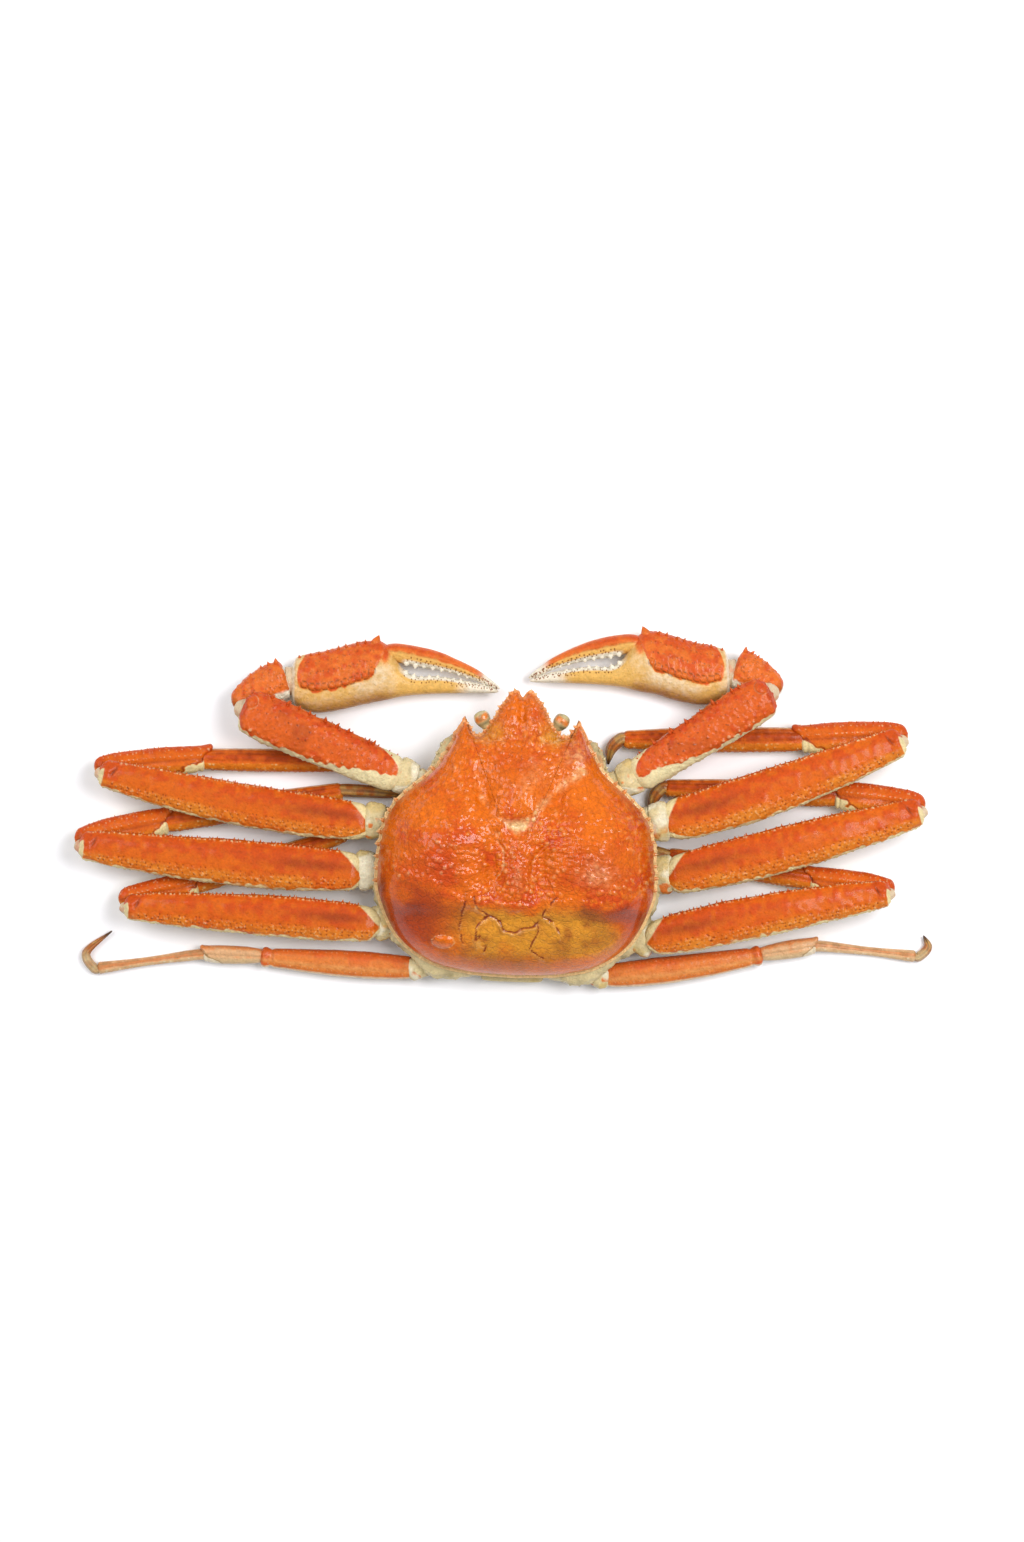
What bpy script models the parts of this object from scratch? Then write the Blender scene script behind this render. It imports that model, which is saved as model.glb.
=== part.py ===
"""A cooked snow crab lying on its belly, its walking legs folded under and its claws turned in.

+X is the crab's right, +Y its front, +Z up. The origin is on the belly's flat face, under the
middle of the carapace. Lengths are written in millimetres and turned to metres when a mesh is made.
"""

import math

import bmesh
import bpy
import numpy as np

# Driving dimensions
MM = 0.001
BODY_TURN = math.radians(2.2)  # the body sits a little askew, its front turned towards +X
HALF_WIDTH = 61.2  # carapace, from the middle to the widest point of its margin
RIM_LEVEL = 20.6  # height of the carapace margin beside the origin
RIM_SLOPE = 0.09  # the margin climbs towards the front
SHELL_LIFT = 25.0  # the dome above its margin
SIDE_ROLL = 24.0  # how far in from the side margin the dome keeps rising
FRONT_ROLL = 7.0  # the same at the horns
GAP = 0.35  # air between neighbouring pieces
MERUS_LEVEL = 16.5  # middle height of the upper leg segments, which lie over the folded lower ones
CARPUS_LEVEL = 7.2
PROPODUS_LEVEL = 4.3

# Colours, as (red, green, blue), with roughness
ORANGE = ((0.80, 0.19, 0.03), 0.35)
DEEP_ORANGE = ((0.70, 0.13, 0.025), 0.3)
CREAM = ((0.72, 0.58, 0.34), 0.45)
AMBER = ((0.55, 0.25, 0.06), 0.4)
EYE = ((0.45, 0.30, 0.14), 0.2)

# Half of the carapace outline, seen from above: x across, y forward.
# The frontal edge runs from the notch between the two horns to the tooth behind the eye.
FRONTAL_EDGE = [
    (0.0, 75.2), (1.6, 77.4), (3.2, 78.3), (5.6, 76.6), (8.8, 72.2), (13.0, 64.9),
    (16.2, 60.5), (18.8, 59.0), (21.4, 60.6), (24.5, 66.3),
]
SIDE_MARGIN = [
    (24.5, 66.3), (28.0, 60.6), (31.0, 54.6), (37.0, 44.8), (47.5, 35.4), (55.0, 27.4),
    (59.2, 17.5), (HALF_WIDTH, 0.0), (59.8, -13.0), (51.5, -30.0), (37.0, -41.0),
    (20.0, -45.2), (0.0, -46.3),
]
# The trunk below the shell: cheeks that stand out beside the mouth, then the flanks.
TRUNK_OUTLINE = [
    (0.0, 57.5), (12.0, 57.0), (22.0, 58.0), (31.0, 58.2), (35.9, 52.0), (39.0, 44.0),
    (47.0, 34.6), (54.0, 27.0), (58.6, 17.5), (61.2, 4.0), (62.6, -8.0), (59.4, -20.0),
    (53.6, -32.0), (45.0, -38.8), (37.0, -45.4), (28.0, -48.8), (19.0, -47.0), (0.0, -46.0),
]
# Each step of the trunk from its top to the belly: share of the outline, share of the height
TRUNK_STEPS = [(0.95, 1.0), (1.0, 0.7), (0.95, 0.45), (0.8, 0.25), (0.62, 0.1), (0.5, 0.06)]
SHELL_STEPS = [0.12, 0.25, 0.38, 0.5, 0.61, 0.71, 0.79, 0.86, 0.915, 0.955, 0.982, 1.0]
SHELL_CENTRE = (0.0, 5.0)
MARGIN_POINTS = 31

# Swellings of the shell: x, y, radius across, radius along, height
SWELLINGS = [
    (0.0, 38.0, 13.0, 15.0, 4.0),  # stomach
    (0.0, 0.0, 5.5, 13.0, 2.8),  # heart
    (30.0, 8.0, 16.0, 17.0, 4.6),  # right gill chamber
    (-30.0, 8.0, 16.0, 17.0, 4.6),  # left gill chamber
    (0.0, 19.5, 5.0, 4.0, -2.6),  # pit between stomach and heart
    (15.0, 33.0, 4.6, 10.0, -3.6),  # grooves beside the stomach
    (-15.0, 33.0, 4.6, 10.0, -3.6),
    (10.5, 2.0, 3.4, 12.0, -2.4),  # grooves beside the heart
    (-10.5, 2.0, 3.4, 12.0, -2.4),
    (0.0, 68.0, 1.8, 12.0, -1.8),  # furrow between the horns
    (29.0, 48.0, 5.0, 7.0, 2.4),  # swellings behind the teeth beside the eyes
    (-29.0, 48.0, 5.0, 7.0, 2.4),
    (-33.0, -31.5, 4.2, 3.2, 1.8),  # knob on the left hind slope
]
HIND_STEP = 4.0  # the shell drops behind the heart
HIND_STEP_FROM = -13.0

# Share of the full half-width at each share of a segment's length
MERUS_WIDTHS = [(0, 0.76), (0.12, 0.93), (0.3, 1.01), (0.5, 0.99), (0.7, 0.89), (0.87, 0.76), (1, 0.62)]
CARPUS_WIDTHS = [(0, 0.6), (0.15, 0.85), (0.4, 1.0), (0.75, 1.02), (1, 0.86)]
PROPODUS_WIDTHS = [(0, 0.85), (0.15, 1.0), (0.6, 1.0), (1, 0.72)]
DACTYL_WIDTHS = [(0, 1.0), (0.3, 0.92), (0.7, 0.6), (1, 0.15)]

# Folded legs in plan. hip: inner end of the long upper segment; knee: its outer end; heel: outermost
# point of the short segment that turns back; wrist, ankle and tip: ends of the next three.
FOLDED_LEGS = {
    "right_leg_1": dict(
        coxa=(51.0, 20.5), hip=(62.8, 20.6), knee=(168.6, 57.2), bow=-2.8, girth=10.2,
        heel=(171.0, 59.4), wrist=(124.5, 57.2), ankle=(46.5, 57.4), tip=(40.4, 46.4), tip_level=2.0,
    ),
    "right_leg_2": dict(
        coxa=(54.0, -1.5), hip=(64.6, -2.6), knee=(177.0, 26.4), bow=-1.2, girth=9.8,
        heel=(178.6, 28.6), wrist=(139.5, 33.0), ankle=(64.8, 36.2), tip=(59.4, 23.4), tip_level=2.0,
    ),
    "right_leg_3": dict(
        coxa=(46.5, -27.0), hip=(56.0, -30.2), knee=(163.0, -9.3), bow=0.8, girth=9.1,
        heel=(165.2, -8.2), wrist=(128.7, -4.0), ankle=(66.0, 6.6), tip=(52.5, 11.5), tip_level=2.6,
    ),
    "left_leg_1": dict(
        coxa=(-50.0, 21.5), hip=(-61.8, 21.2), knee=(-181.4, 43.2), bow=-2.8, girth=9.3,
        heel=(-184.2, 45.4), wrist=(-136.0, 49.0), ankle=(-60.0, 47.6), tip=(-49.6, 37.6), tip_level=2.6,
    ),
    "left_leg_2": dict(
        coxa=(-54.0, 1.0), hip=(-65.6, -0.6), knee=(-190.2, 11.6), bow=-1.2, girth=9.9,
        heel=(-192.6, 13.4), wrist=(-152.5, 21.6), ankle=(-75.5, 35.0), tip=(-46.0, 32.2), tip_level=2.6,
    ),
    "left_leg_3": dict(
        coxa=(-48.5, -20.0), hip=(-58.6, -23.4), knee=(-170.6, -15.4), bow=0.5, girth=8.8,
        heel=(-173.4, -12.6), wrist=(-139.0, -6.0), ankle=(-74.0, 16.2), tip=(-58.5, 21.0), tip_level=2.6,
    ),
}
# The small last pair lies stretched out on the table.
STRETCHED_LEGS = {
    "right_leg_4": dict(
        coxa=(28.0, -42.0), hip=(37.0, -46.4), knee=(108.0, -37.0), bow=-1.2, heel=(106.0, -37.0),
        wrist=(131.6, -33.0), ankle=(175.6, -37.8), bend=(180.9, -33.8), tip=(179.0, -28.6),
    ),
    "left_leg_4": dict(
        coxa=(-33.0, -39.8), hip=(-43.4, -42.8), knee=(-112.0, -37.8), bow=-0.4, heel=(-109.5, -37.6),
        wrist=(-137.2, -36.6), ankle=(-183.8, -43.0), bend=(-188.6, -36.0), tip=(-177.4, -26.6),
    ),
}
SMALL_GIRTH = 5.8

# Claw arms, mirrored in the body's middle line except for the small differences given here.
CLAWS = {
    "right_claw": dict(
        side=1, coxa=(38.0, 35.5), hip=(50.5, 40.0), elbow=(110.8, 78.0), heel=(114.6, 77.4),
        hand=(95.6, 89.0), palm_turn=1.0, palm_root=(93.8, 86.2), reach=0.965, girth=9.6,
    ),
    "left_claw": dict(
        side=-1, coxa=(-36.5, 37.0), hip=(-49.0, 40.4), elbow=(-119.2, 70.8), heel=(-122.8, 71.6),
        hand=(-100.0, 84.2), palm_turn=0.0, palm_root=(-98.6, 83.0), reach=1.0, girth=10.2,
    ),
}
# Palm and fixed finger: distance along the hand, offset of the middle, half-width, half-height
PALM_ROWS = [
    (0, 0.0, 8.0, 6.0), (6, -0.4, 11.5, 7.4), (14, -0.4, 13.6, 8.0), (24, 1.6, 14.0, 8.0),
    (32, 3.6, 14.0, 7.8), (39, 4.2, 13.2, 7.4), (44, 2.4, 10.4, 6.8), (48, -0.4, 6.6, 5.8),
    (54, -2.4, 4.0, 4.8), (64, -2.2, 3.5, 4.0), (76, -2.6, 2.8, 3.2), (85, -3.6, 1.8, 2.4),
    (91, -4.6, 0.7, 1.2),
]
FINGER_ROWS = [
    (38.5, 12.4, 3.0, 3.6), (44, 12.6, 4.0, 4.8), (51, 11.6, 4.4, 5.0), (58, 10.2, 4.4, 4.8),
    (65, 8.6, 3.9, 4.2), (73, 6.0, 3.1, 3.6), (81, 2.6, 2.4, 2.8), (87, -0.8, 1.6, 2.0), (91.5, -3.4, 0.6, 0.9),
]
PALM_LEVEL = 8.0
FINGER_LEVEL = 8.0


def clear_scene():
    for thing in list(bpy.data.objects):
        bpy.data.objects.remove(thing)


def material(name, look):
    colour, roughness = look
    made = bpy.data.materials.new(name)
    made.use_nodes = True
    shader = made.node_tree.nodes["Principled BSDF"]
    shader.inputs["Base Color"].default_value = (*colour, 1.0)
    shader.inputs["Roughness"].default_value = roughness
    made.diffuse_color = (*colour, 1.0)
    return made


def anchor(name, turn=0.0):
    """An empty that carries the pieces parented to it."""
    empty = bpy.data.objects.new(name, None)
    empty.rotation_euler.z = turn
    bpy.context.scene.collection.objects.link(empty)
    return empty


def place(name, mesh, look=None, origin=(0.0, 0.0, 0.0), parent=None):
    """Puts a closed bmesh into the scene as one object, turned about its own origin.

    The mesh comes in its parent's axes, in metres; the origin is in millimetres. With no look it is a cutter.
    """
    shift = -MM * np.array(origin, float)
    bmesh.ops.translate(mesh, verts=mesh.verts, vec=shift)
    bmesh.ops.recalc_face_normals(mesh, faces=mesh.faces)
    data = bpy.data.meshes.new(name)
    mesh.to_mesh(data)
    mesh.free()
    data.shade_smooth()
    data.set_sharp_from_angle(angle=math.radians(40))
    thing = bpy.data.objects.new(name, data)
    thing.location = -shift
    thing.parent = parent
    bpy.context.scene.collection.objects.link(thing)
    if look is None:
        thing.hide_render = True
        thing.display_type = "WIRE"
    else:
        data.materials.append(material(name, look))
    return thing


def grown_copy(thing, amount=GAP):
    """A cutter: the same piece, each vertex moved out along its normal by the gap."""
    mesh = bmesh.new()
    mesh.from_mesh(thing.data)
    mesh.normal_update()
    for vertex in mesh.verts:
        vertex.co += vertex.normal * amount * MM
    cutter = place("cutter_" + thing.name, mesh, parent=thing.parent)
    cutter.location = thing.location
    return cutter


def cut(thing, *neighbours):
    """Leaves room in a piece for its neighbours, so that they never overlap."""
    for neighbour in neighbours:
        name = "cutter_" + neighbour.name
        boolean = thing.modifiers.new("room_for_" + neighbour.name, "BOOLEAN")
        boolean.operation = "DIFFERENCE"
        boolean.solver = "EXACT"
        boolean.object = bpy.data.objects.get(name) or grown_copy(neighbour)


def smooth(rows, count):
    """A Catmull-Rom curve through the rows, read at evenly spaced lengths along it."""
    rows = np.array(rows, float)
    padded = np.vstack([2 * rows[0] - rows[1], rows, 2 * rows[-1] - rows[-2]])
    fine = []
    for i in range(len(rows) - 1):
        a, b, c, d = padded[i : i + 4]
        for t in np.linspace(0, 1, 12, endpoint=False):
            fine.append(
                0.5 * (2 * b + (c - a) * t + (2 * a - 5 * b + 4 * c - d) * t**2 + (3 * b - a - 3 * c + d) * t**3)
            )
    fine = np.array([*fine, rows[-1]])
    steps = np.linalg.norm(np.diff(fine[:, :2], axis=0), axis=1)
    along = np.concatenate([[0], np.cumsum(steps)])
    wanted = np.linspace(0, along[-1], count)
    return np.column_stack([np.interp(wanted, along, column) for column in fine.T])


def taper(profile, share):
    shares, values = zip(*profile)
    return np.interp(share, shares, values)


def rim_height(y):
    return RIM_LEVEL + RIM_SLOPE * y


def end_places(rounding):
    """Where the rings of a rounded end lie, from its very end: one ring will do for a short rounding."""
    return [0.2 * rounding] if rounding < 3 else [0.15 * rounding, 0.5 * rounding]


def tube(name, rows, look, sides=10, rings=5, rounding=(4.0, 4.0), squareness=2.4, straight=False, parent=None):
    """A segment swept along rows of x, y, z, half-width, half-height, with a rounded end at each side.

    Each ring is a superellipse: across^n + up^n = 1. Its broad side lies across the segment's run,
    or across the line between its ends where the segment is straight. Nothing dips below the table.
    """
    rows = np.array(rows, float)
    fine = smooth(rows, 60)
    steps = np.linalg.norm(np.diff(fine[:, :3], axis=0), axis=1)
    along = np.concatenate([[0], np.cumsum(steps)])
    length = along[-1]
    first, last = rounding
    inner = np.linspace(first, length - last, rings)
    places = np.concatenate([end_places(first), inner, [length - back for back in end_places(last)[::-1]]])
    chord = fine[-1, :3] - fine[0, :3]
    handed = 1.0 if np.cross((0, 0, 1), chord)[1] >= 0 else -1.0
    mesh = bmesh.new()
    hoops = []
    angles = np.linspace(0, 2 * math.pi, sides, endpoint=False) + math.pi / sides
    for place_along in places:
        x, y, z, wide, high = (np.interp(place_along, along, column) for column in fine.T)
        ahead = np.array([np.interp(min(place_along + 1, length), along, c) for c in fine.T[:3]])
        behind = np.array([np.interp(max(place_along - 1, 0), along, c) for c in fine.T[:3]])
        run = chord if straight else ahead - behind
        run = run / np.linalg.norm(run)
        broad = np.cross((0, 0, handed), run)
        broad /= np.linalg.norm(broad)
        up = np.cross(run, broad)
        if up[2] < 0:
            up = -up
        end = min(place_along / first, (length - place_along) / last, 1.0)
        shrink = math.sqrt(1 - (1 - end) ** 2)
        hoop = []
        for angle in angles:
            sx = math.copysign(abs(math.cos(angle)) ** (2 / squareness), math.cos(angle))
            sz = math.copysign(abs(math.sin(angle)) ** (2 / squareness), math.sin(angle))
            point = np.array([x, y, z]) + broad * sx * wide * shrink + up * sz * high * shrink
            point[2] = max(point[2], 0.0)
            hoop.append(mesh.verts.new(point * MM))
        hoops.append(hoop)
    for lower, upper in zip(hoops, hoops[1:]):
        for i in range(sides):
            j = (i + 1) % sides
            mesh.faces.new((lower[i], lower[j], upper[j], upper[i]))
    for hoop, row in ((hoops[0], fine[0]), (hoops[-1], fine[-1])):
        pole = mesh.verts.new((row[0] * MM, row[1] * MM, max(row[2], 0.0) * MM))
        for i in range(sides):
            mesh.faces.new((hoop[i], hoop[(i + 1) % sides], pole))
    return place(name, mesh, look, origin=rows[0, :3], parent=parent)


def segment_rows(start, end, levels, girth, height, widths, bow=0.0):
    """Rows for a segment between two plan points; bow moves its middle forward."""
    start, end = np.array(start, float), np.array(end, float)
    rows = []
    for share, wide in widths:
        x, y = start + (end - start) * share
        y += bow * 4 * share * (1 - share)
        z = np.interp(share, np.linspace(0, 1, len(levels)), levels)
        rows.append((x, y, z, girth * wide, height * wide))
    return rows


def hip_segment(name, spec, level, girth, height):
    """The short pale segment between the trunk and the long upper segment."""
    coxa, hip = np.array(spec["coxa"]), np.array(spec["hip"])
    level = min(level, rim_height(coxa[1]) - 2.0 - 0.92 * height)
    out = (hip - coxa) / np.linalg.norm(hip - coxa)
    far = hip + out * 3.4
    rows = [
        (*coxa, level - 0.4, girth * 0.62, height * 0.8),
        (*(coxa + (far - coxa) * 0.5), level, girth * 0.78, height * 0.92),
        (*far, level + 0.3, girth * 0.92, height * 0.98),
    ]
    return tube(name, rows, CREAM, sides=8, rings=2, rounding=(2.5, 1.6))


def folded_leg(name, spec):
    """Five segments: the long one lies on top, the next ones run back under it."""
    girth = spec["girth"]
    hip = hip_segment(name + "_ischium", spec, MERUS_LEVEL - 1.5, girth, 5.4)
    merus = tube(
        name + "_merus",
        segment_rows(
            spec["hip"], spec["knee"], (15.2, MERUS_LEVEL, MERUS_LEVEL + 0.4), girth, 5.6, MERUS_WIDTHS, spec["bow"]
        ),
        ORANGE, sides=12, rings=6, rounding=(7.0, 3.5),
    )
    carpus = tube(
        name + "_carpus",
        segment_rows(
            spec["heel"], spec["wrist"], (11.5, CARPUS_LEVEL + 0.6, CARPUS_LEVEL, CARPUS_LEVEL, 5.8),
            girth * 0.66, 4.7, CARPUS_WIDTHS,
        ),
        ORANGE, sides=10, rings=3, rounding=(3.0, 2.0),
    )
    wrist, ankle, heel, tip = (np.array(spec[key]) for key in ("wrist", "ankle", "heel", "tip"))
    root = wrist + (heel - wrist) / np.linalg.norm(heel - wrist) * 3.0
    propodus = tube(
        name + "_propodus",
        segment_rows(root, ankle, (5.4, PROPODUS_LEVEL, PROPODUS_LEVEL), girth * 0.52, 4.3, PROPODUS_WIDTHS),
        ORANGE, sides=8, rings=4, rounding=(2.5, 2.5),
    )
    back = (wrist - ankle) / np.linalg.norm(wrist - ankle)
    start, middle = ankle + back * 2.2, ankle * 0.62 + tip * 0.38 - back * 2.4
    rows = [
        (*start, PROPODUS_LEVEL, 2.5, 2.6), (*(ankle - back * 0.6), PROPODUS_LEVEL + 0.3, 2.7, 2.7),
        (*middle, PROPODUS_LEVEL, 2.4, 2.4), (*tip, spec["tip_level"], 0.5, 0.6),
    ]
    dactyl = tube(name + "_dactyl", rows, AMBER, sides=6, rings=4, rounding=(1.5, 0.8))
    cut(hip, merus)
    cut(carpus, merus, propodus)
    cut(propodus, dactyl)
    return hip


def stretched_leg(name, spec):
    girth, level = SMALL_GIRTH, 5.2
    hip = hip_segment(name + "_ischium", spec, level + 1.6, girth, 4.2)
    merus = tube(
        name + "_merus", segment_rows(spec["hip"], spec["knee"], (6.2, 5.4, 5.2), girth, 4.6, MERUS_WIDTHS, spec["bow"]),
        ORANGE, sides=10, rings=4, rounding=(4.0, 1.6),
    )
    carpus = tube(
        name + "_carpus", segment_rows(spec["heel"], spec["wrist"], (4.8, 4.4, 4.2), 3.9, 3.6, CARPUS_WIDTHS),
        ORANGE, sides=8, rings=3, rounding=(1.6, 1.6),
    )
    wrist, ankle, heel = (np.array(spec[key]) for key in ("wrist", "ankle", "heel"))
    root = wrist + (heel - wrist) / np.linalg.norm(heel - wrist) * 2.0
    middle = wrist + (ankle - wrist) * 0.55
    propodus = tube(
        name + "_propodus",
        [
            (*root, 3.8, 2.4, 2.3), (*(wrist - (wrist - ankle) * 0.1), 3.4, 2.4, 2.3), (*middle, 2.4, 1.9, 1.9),
            (*ankle, 2.7, 2.7, 2.4),
        ],
        CREAM, sides=8, rings=4, rounding=(1.4, 1.4),
    )
    back = (wrist - ankle) / np.linalg.norm(wrist - ankle)
    rows = [
        (*(ankle + back * 1.2), 2.7, 1.4, 1.4), (*(ankle - back * 1.4), 2.7, 1.9, 1.9),
        (*spec["bend"], 2.6, 1.7, 1.7), (*spec["tip"], 2.2, 0.35, 0.4),
    ]
    dactyl = tube(name + "_dactyl", rows, AMBER, sides=6, rings=5, rounding=(1.2, 0.8))
    cut(merus, carpus)
    cut(hip, merus)
    cut(carpus, propodus)
    cut(propodus, dactyl)
    return hip


def spine(start, direction, length, radius):
    """One thorn as a five-sided cone, its base sunk into the shell."""
    direction = np.array(direction, float) / np.linalg.norm(direction)
    start = np.array(start, float) - direction * radius * 0.8
    side = np.cross(direction, (0.3, 0.2, 1.0))
    side /= np.linalg.norm(side)
    other = np.cross(direction, side)
    mesh = bmesh.new()
    angles = np.linspace(0, 2 * math.pi, 5, endpoint=False)
    ring = [mesh.verts.new((start + (side * math.cos(a) + other * math.sin(a)) * radius) * MM) for a in angles]
    tip = mesh.verts.new((start + direction * (length + radius * 0.8)) * MM)
    mesh.faces.new(ring)
    for i in range(5):
        mesh.faces.new((ring[i], ring[(i + 1) % 5], tip))
    return place("spine", mesh, ORANGE, origin=start)


def join_spines(thing, spines):
    """Fuses the thorns to their segment with one Boolean union, then removes the loose cones."""
    holder = bpy.data.collections.new("spines_" + thing.name)
    bpy.context.scene.collection.children.link(holder)
    for one in spines:
        bpy.context.scene.collection.objects.unlink(one)
        holder.objects.link(one)
    boolean = thing.modifiers.new("spines", "BOOLEAN")
    boolean.operation = "UNION"
    boolean.solver = "EXACT"
    boolean.operand_type = "COLLECTION"
    boolean.collection = holder
    bpy.context.view_layer.update()
    graph = bpy.context.evaluated_depsgraph_get()
    joined = bpy.data.meshes.new_from_object(thing.evaluated_get(graph))
    thing.modifiers.remove(boolean)
    thing.data = joined
    for one in spines:
        bpy.data.objects.remove(one)
    bpy.data.collections.remove(holder)


def edge_spines(rows, count, span, length, radius, level=0.0):
    """Thorns along the front edge of a segment, between two shares of its run, uneven in length."""
    fine = smooth(rows, 60)
    spines = []
    for i in range(count):
        share = span[0] + (span[1] - span[0]) * i / max(count - 1, 1)
        x, y, z, wide, high = (np.interp(share, np.linspace(0, 1, len(fine)), column) for column in fine.T)
        run = fine[-1, :2] - fine[0, :2]
        forward = np.array([-run[1], run[0]]) / np.linalg.norm(run)
        if forward[1] < 0:
            forward = -forward
        tall = length * (0.8 + 0.4 * ((i * 7) % 5) / 4)
        spines.append(spine((x + forward[0] * wide, y + forward[1] * wide, z + level), (*forward, 0.15), tall, radius))
    return spines


def claw(name, spec):
    """Claw arm: hip, arm, wrist, and a hand whose upper finger is a piece of its own."""
    side = spec["side"]
    hip = hip_segment(name + "_ischium", spec, 18.0, 9.0, 6.0)
    arm_rows = segment_rows(
        spec["hip"], spec["elbow"], (18.0, 19.5, 20.0), spec["girth"], 6.6,
        [(0, 0.78), (0.2, 0.86), (0.5, 0.95), (0.8, 1.02), (1, 0.92)],
    )
    merus = tube(name + "_merus", arm_rows, ORANGE, sides=12, rings=6, rounding=(6.0, 4.5))
    wrist_rows = segment_rows(
        spec["heel"], spec["hand"], (15.0, 11.0, 9.6, 9.0), 8.4, 6.8,
        [(0, 0.5), (0.25, 0.8), (0.55, 0.96), (0.8, 1.0), (1, 0.95)], bow=1.5,
    )
    carpus = tube(name + "_carpus", wrist_rows, ORANGE, sides=12, rings=4, rounding=(3.5, 2.0))
    turn = math.radians(spec["palm_turn"])
    run = np.array([-side * math.cos(turn), math.sin(turn)])
    forward = np.array([side * math.sin(turn), math.cos(turn)])
    root = np.array(spec["palm_root"])

    def hand_rows(rows, level):
        return [
            (*(root + run * along * spec["reach"] + forward * off), level - 0.01 * along, wide, high)
            for along, off, wide, high in rows
        ]

    palm_rows = hand_rows(PALM_ROWS, PALM_LEVEL)
    palm = tube(name + "_palm", palm_rows, ORANGE, sides=12, rings=12, rounding=(4.0, 2.0), squareness=2.2, straight=True)
    finger_rows = hand_rows(FINGER_ROWS, FINGER_LEVEL)
    finger = tube(name + "_finger", finger_rows, ORANGE, sides=10, rings=8, rounding=(2.5, 1.5), squareness=2.2, straight=True)
    join_spines(merus, edge_spines(arm_rows, 8, (0.16, 0.86), 2.0, 1.2))
    corner = root + run * 37.2 + forward * 16.4
    join_spines(
        palm,
        edge_spines(palm_rows, 5, (0.1, 0.36), 1.5, 1.1, level=1.0)
        + [spine((*corner, 9.5), (run[0] * 0.45, run[1] * 0.45 + 1.0, 0.1), 4.0, 3.0)],
    )
    cut(hip, merus)
    cut(carpus, merus, palm)
    cut(palm, finger, merus)
    return hip


def outline_points(half, smooth_part, count):
    """A closed outline from half of it: the sharp points as they are, then the smooth part."""
    run = smooth(smooth_part, count)[1:] if half else smooth(smooth_part, count)
    right = np.vstack([np.array(half, float), run]) if half else run
    left = right[1:-1][::-1] * (-1, 1)
    return np.vstack([right, left])


def distance_to_outline(points, outline):
    """Distance of each plan point to the nearest side of the closed outline."""
    a = outline
    b = np.roll(outline, -1, axis=0)
    side = b - a
    ahead = points[:, None, :] - a[None]
    share = np.clip((ahead * side).sum(2) / (side * side).sum(1), 0, 1)
    nearest = a[None] + side[None] * share[..., None]
    return np.linalg.norm(points[:, None, :] - nearest, axis=2).min(1)


def shell_height(points, outline):
    """Height of the carapace over plan points: a dome that rolls down to the margin, with its regions.

    z = margin plane + lift * sqrt(1 - (1 - d / R)^2), where d is the distance to the margin and
    both R and the lift fall away towards the horns.
    """
    x, y = points.T
    front = np.clip((y - 22.0) / 40.0, 0, 1)
    front = front * front * (3 - 2 * front)
    inward = distance_to_outline(points, outline) / (SIDE_ROLL + (FRONT_ROLL - SIDE_ROLL) * front)
    roll = np.sqrt(1 - (1 - np.clip(inward, 0, 1)) ** 2)
    lift = 1.0 + (SHELL_LIFT - 1.0) / (1 + np.clip((y - 8.0) / 40.0, 0, None) ** 3)
    for sx, sy, across, along, tall in SWELLINGS:
        lift = lift + tall * np.exp(-(((x - sx) / across) ** 2) - ((y - sy) / along) ** 2)
    behind = np.clip((HIND_STEP_FROM - y) / 9.0, 0, 1)
    lift = lift - HIND_STEP * behind * behind * (3 - 2 * behind)
    return rim_height(y) + lift * roll


def star_mesh(layers, top_pole, bottom_pole):
    """A closed mesh from rings of points, one above the other, closed by a pole at each end."""
    mesh = bmesh.new()
    rings = [[mesh.verts.new(tuple(p * MM)) for p in layer] for layer in layers]
    count = len(rings[0])
    for upper, lower in zip(rings, rings[1:]):
        for i in range(count):
            j = (i + 1) % count
            mesh.faces.new((upper[i], upper[j], lower[j], lower[i]))
    for ring, pole in ((rings[0], top_pole), (rings[-1], bottom_pole)):
        centre = mesh.verts.new(tuple(np.array(pole) * MM))
        for i in range(count):
            mesh.faces.new((ring[i], ring[(i + 1) % count], centre))
    return mesh


def carapace(body):
    outline = outline_points(FRONTAL_EDGE, SIDE_MARGIN, MARGIN_POINTS)
    centre = np.array(SHELL_CENTRE)
    layers = []
    for share in SHELL_STEPS:
        plan = centre + (outline - centre) * share
        layers.append(np.column_stack([plan, shell_height(plan, outline)]))
    under = centre + (outline - centre) * 0.985
    layers.append(np.column_stack([under, rim_height(under[:, 1]) - 1.0]))
    top = shell_height(centre[None], outline)[0]
    mesh = star_mesh(layers, (*centre, top), (*centre, rim_height(centre[1]) - 1.0))
    return place("carapace", mesh, DEEP_ORANGE, origin=(*centre, RIM_LEVEL), parent=body)


def thorax(body):
    """The trunk under the shell, with the breastplate as its flat underside."""
    outline = outline_points(None, TRUNK_OUTLINE, 21)
    centre = np.array([0.0, 2.0])
    layers = []
    for share, rise in TRUNK_STEPS:
        plan = centre + (outline - centre) * share
        top = rim_height(plan[:, 1]) - 1.0 - GAP
        layers.append(np.column_stack([plan, 0.6 + (top - 0.6) * rise]))
    mesh = star_mesh(layers, (*centre, rim_height(centre[1]) - 1.0 - GAP), (*centre, 1.2))
    return place("thorax", mesh, CREAM, origin=(*centre, 1.2), parent=body)


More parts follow.
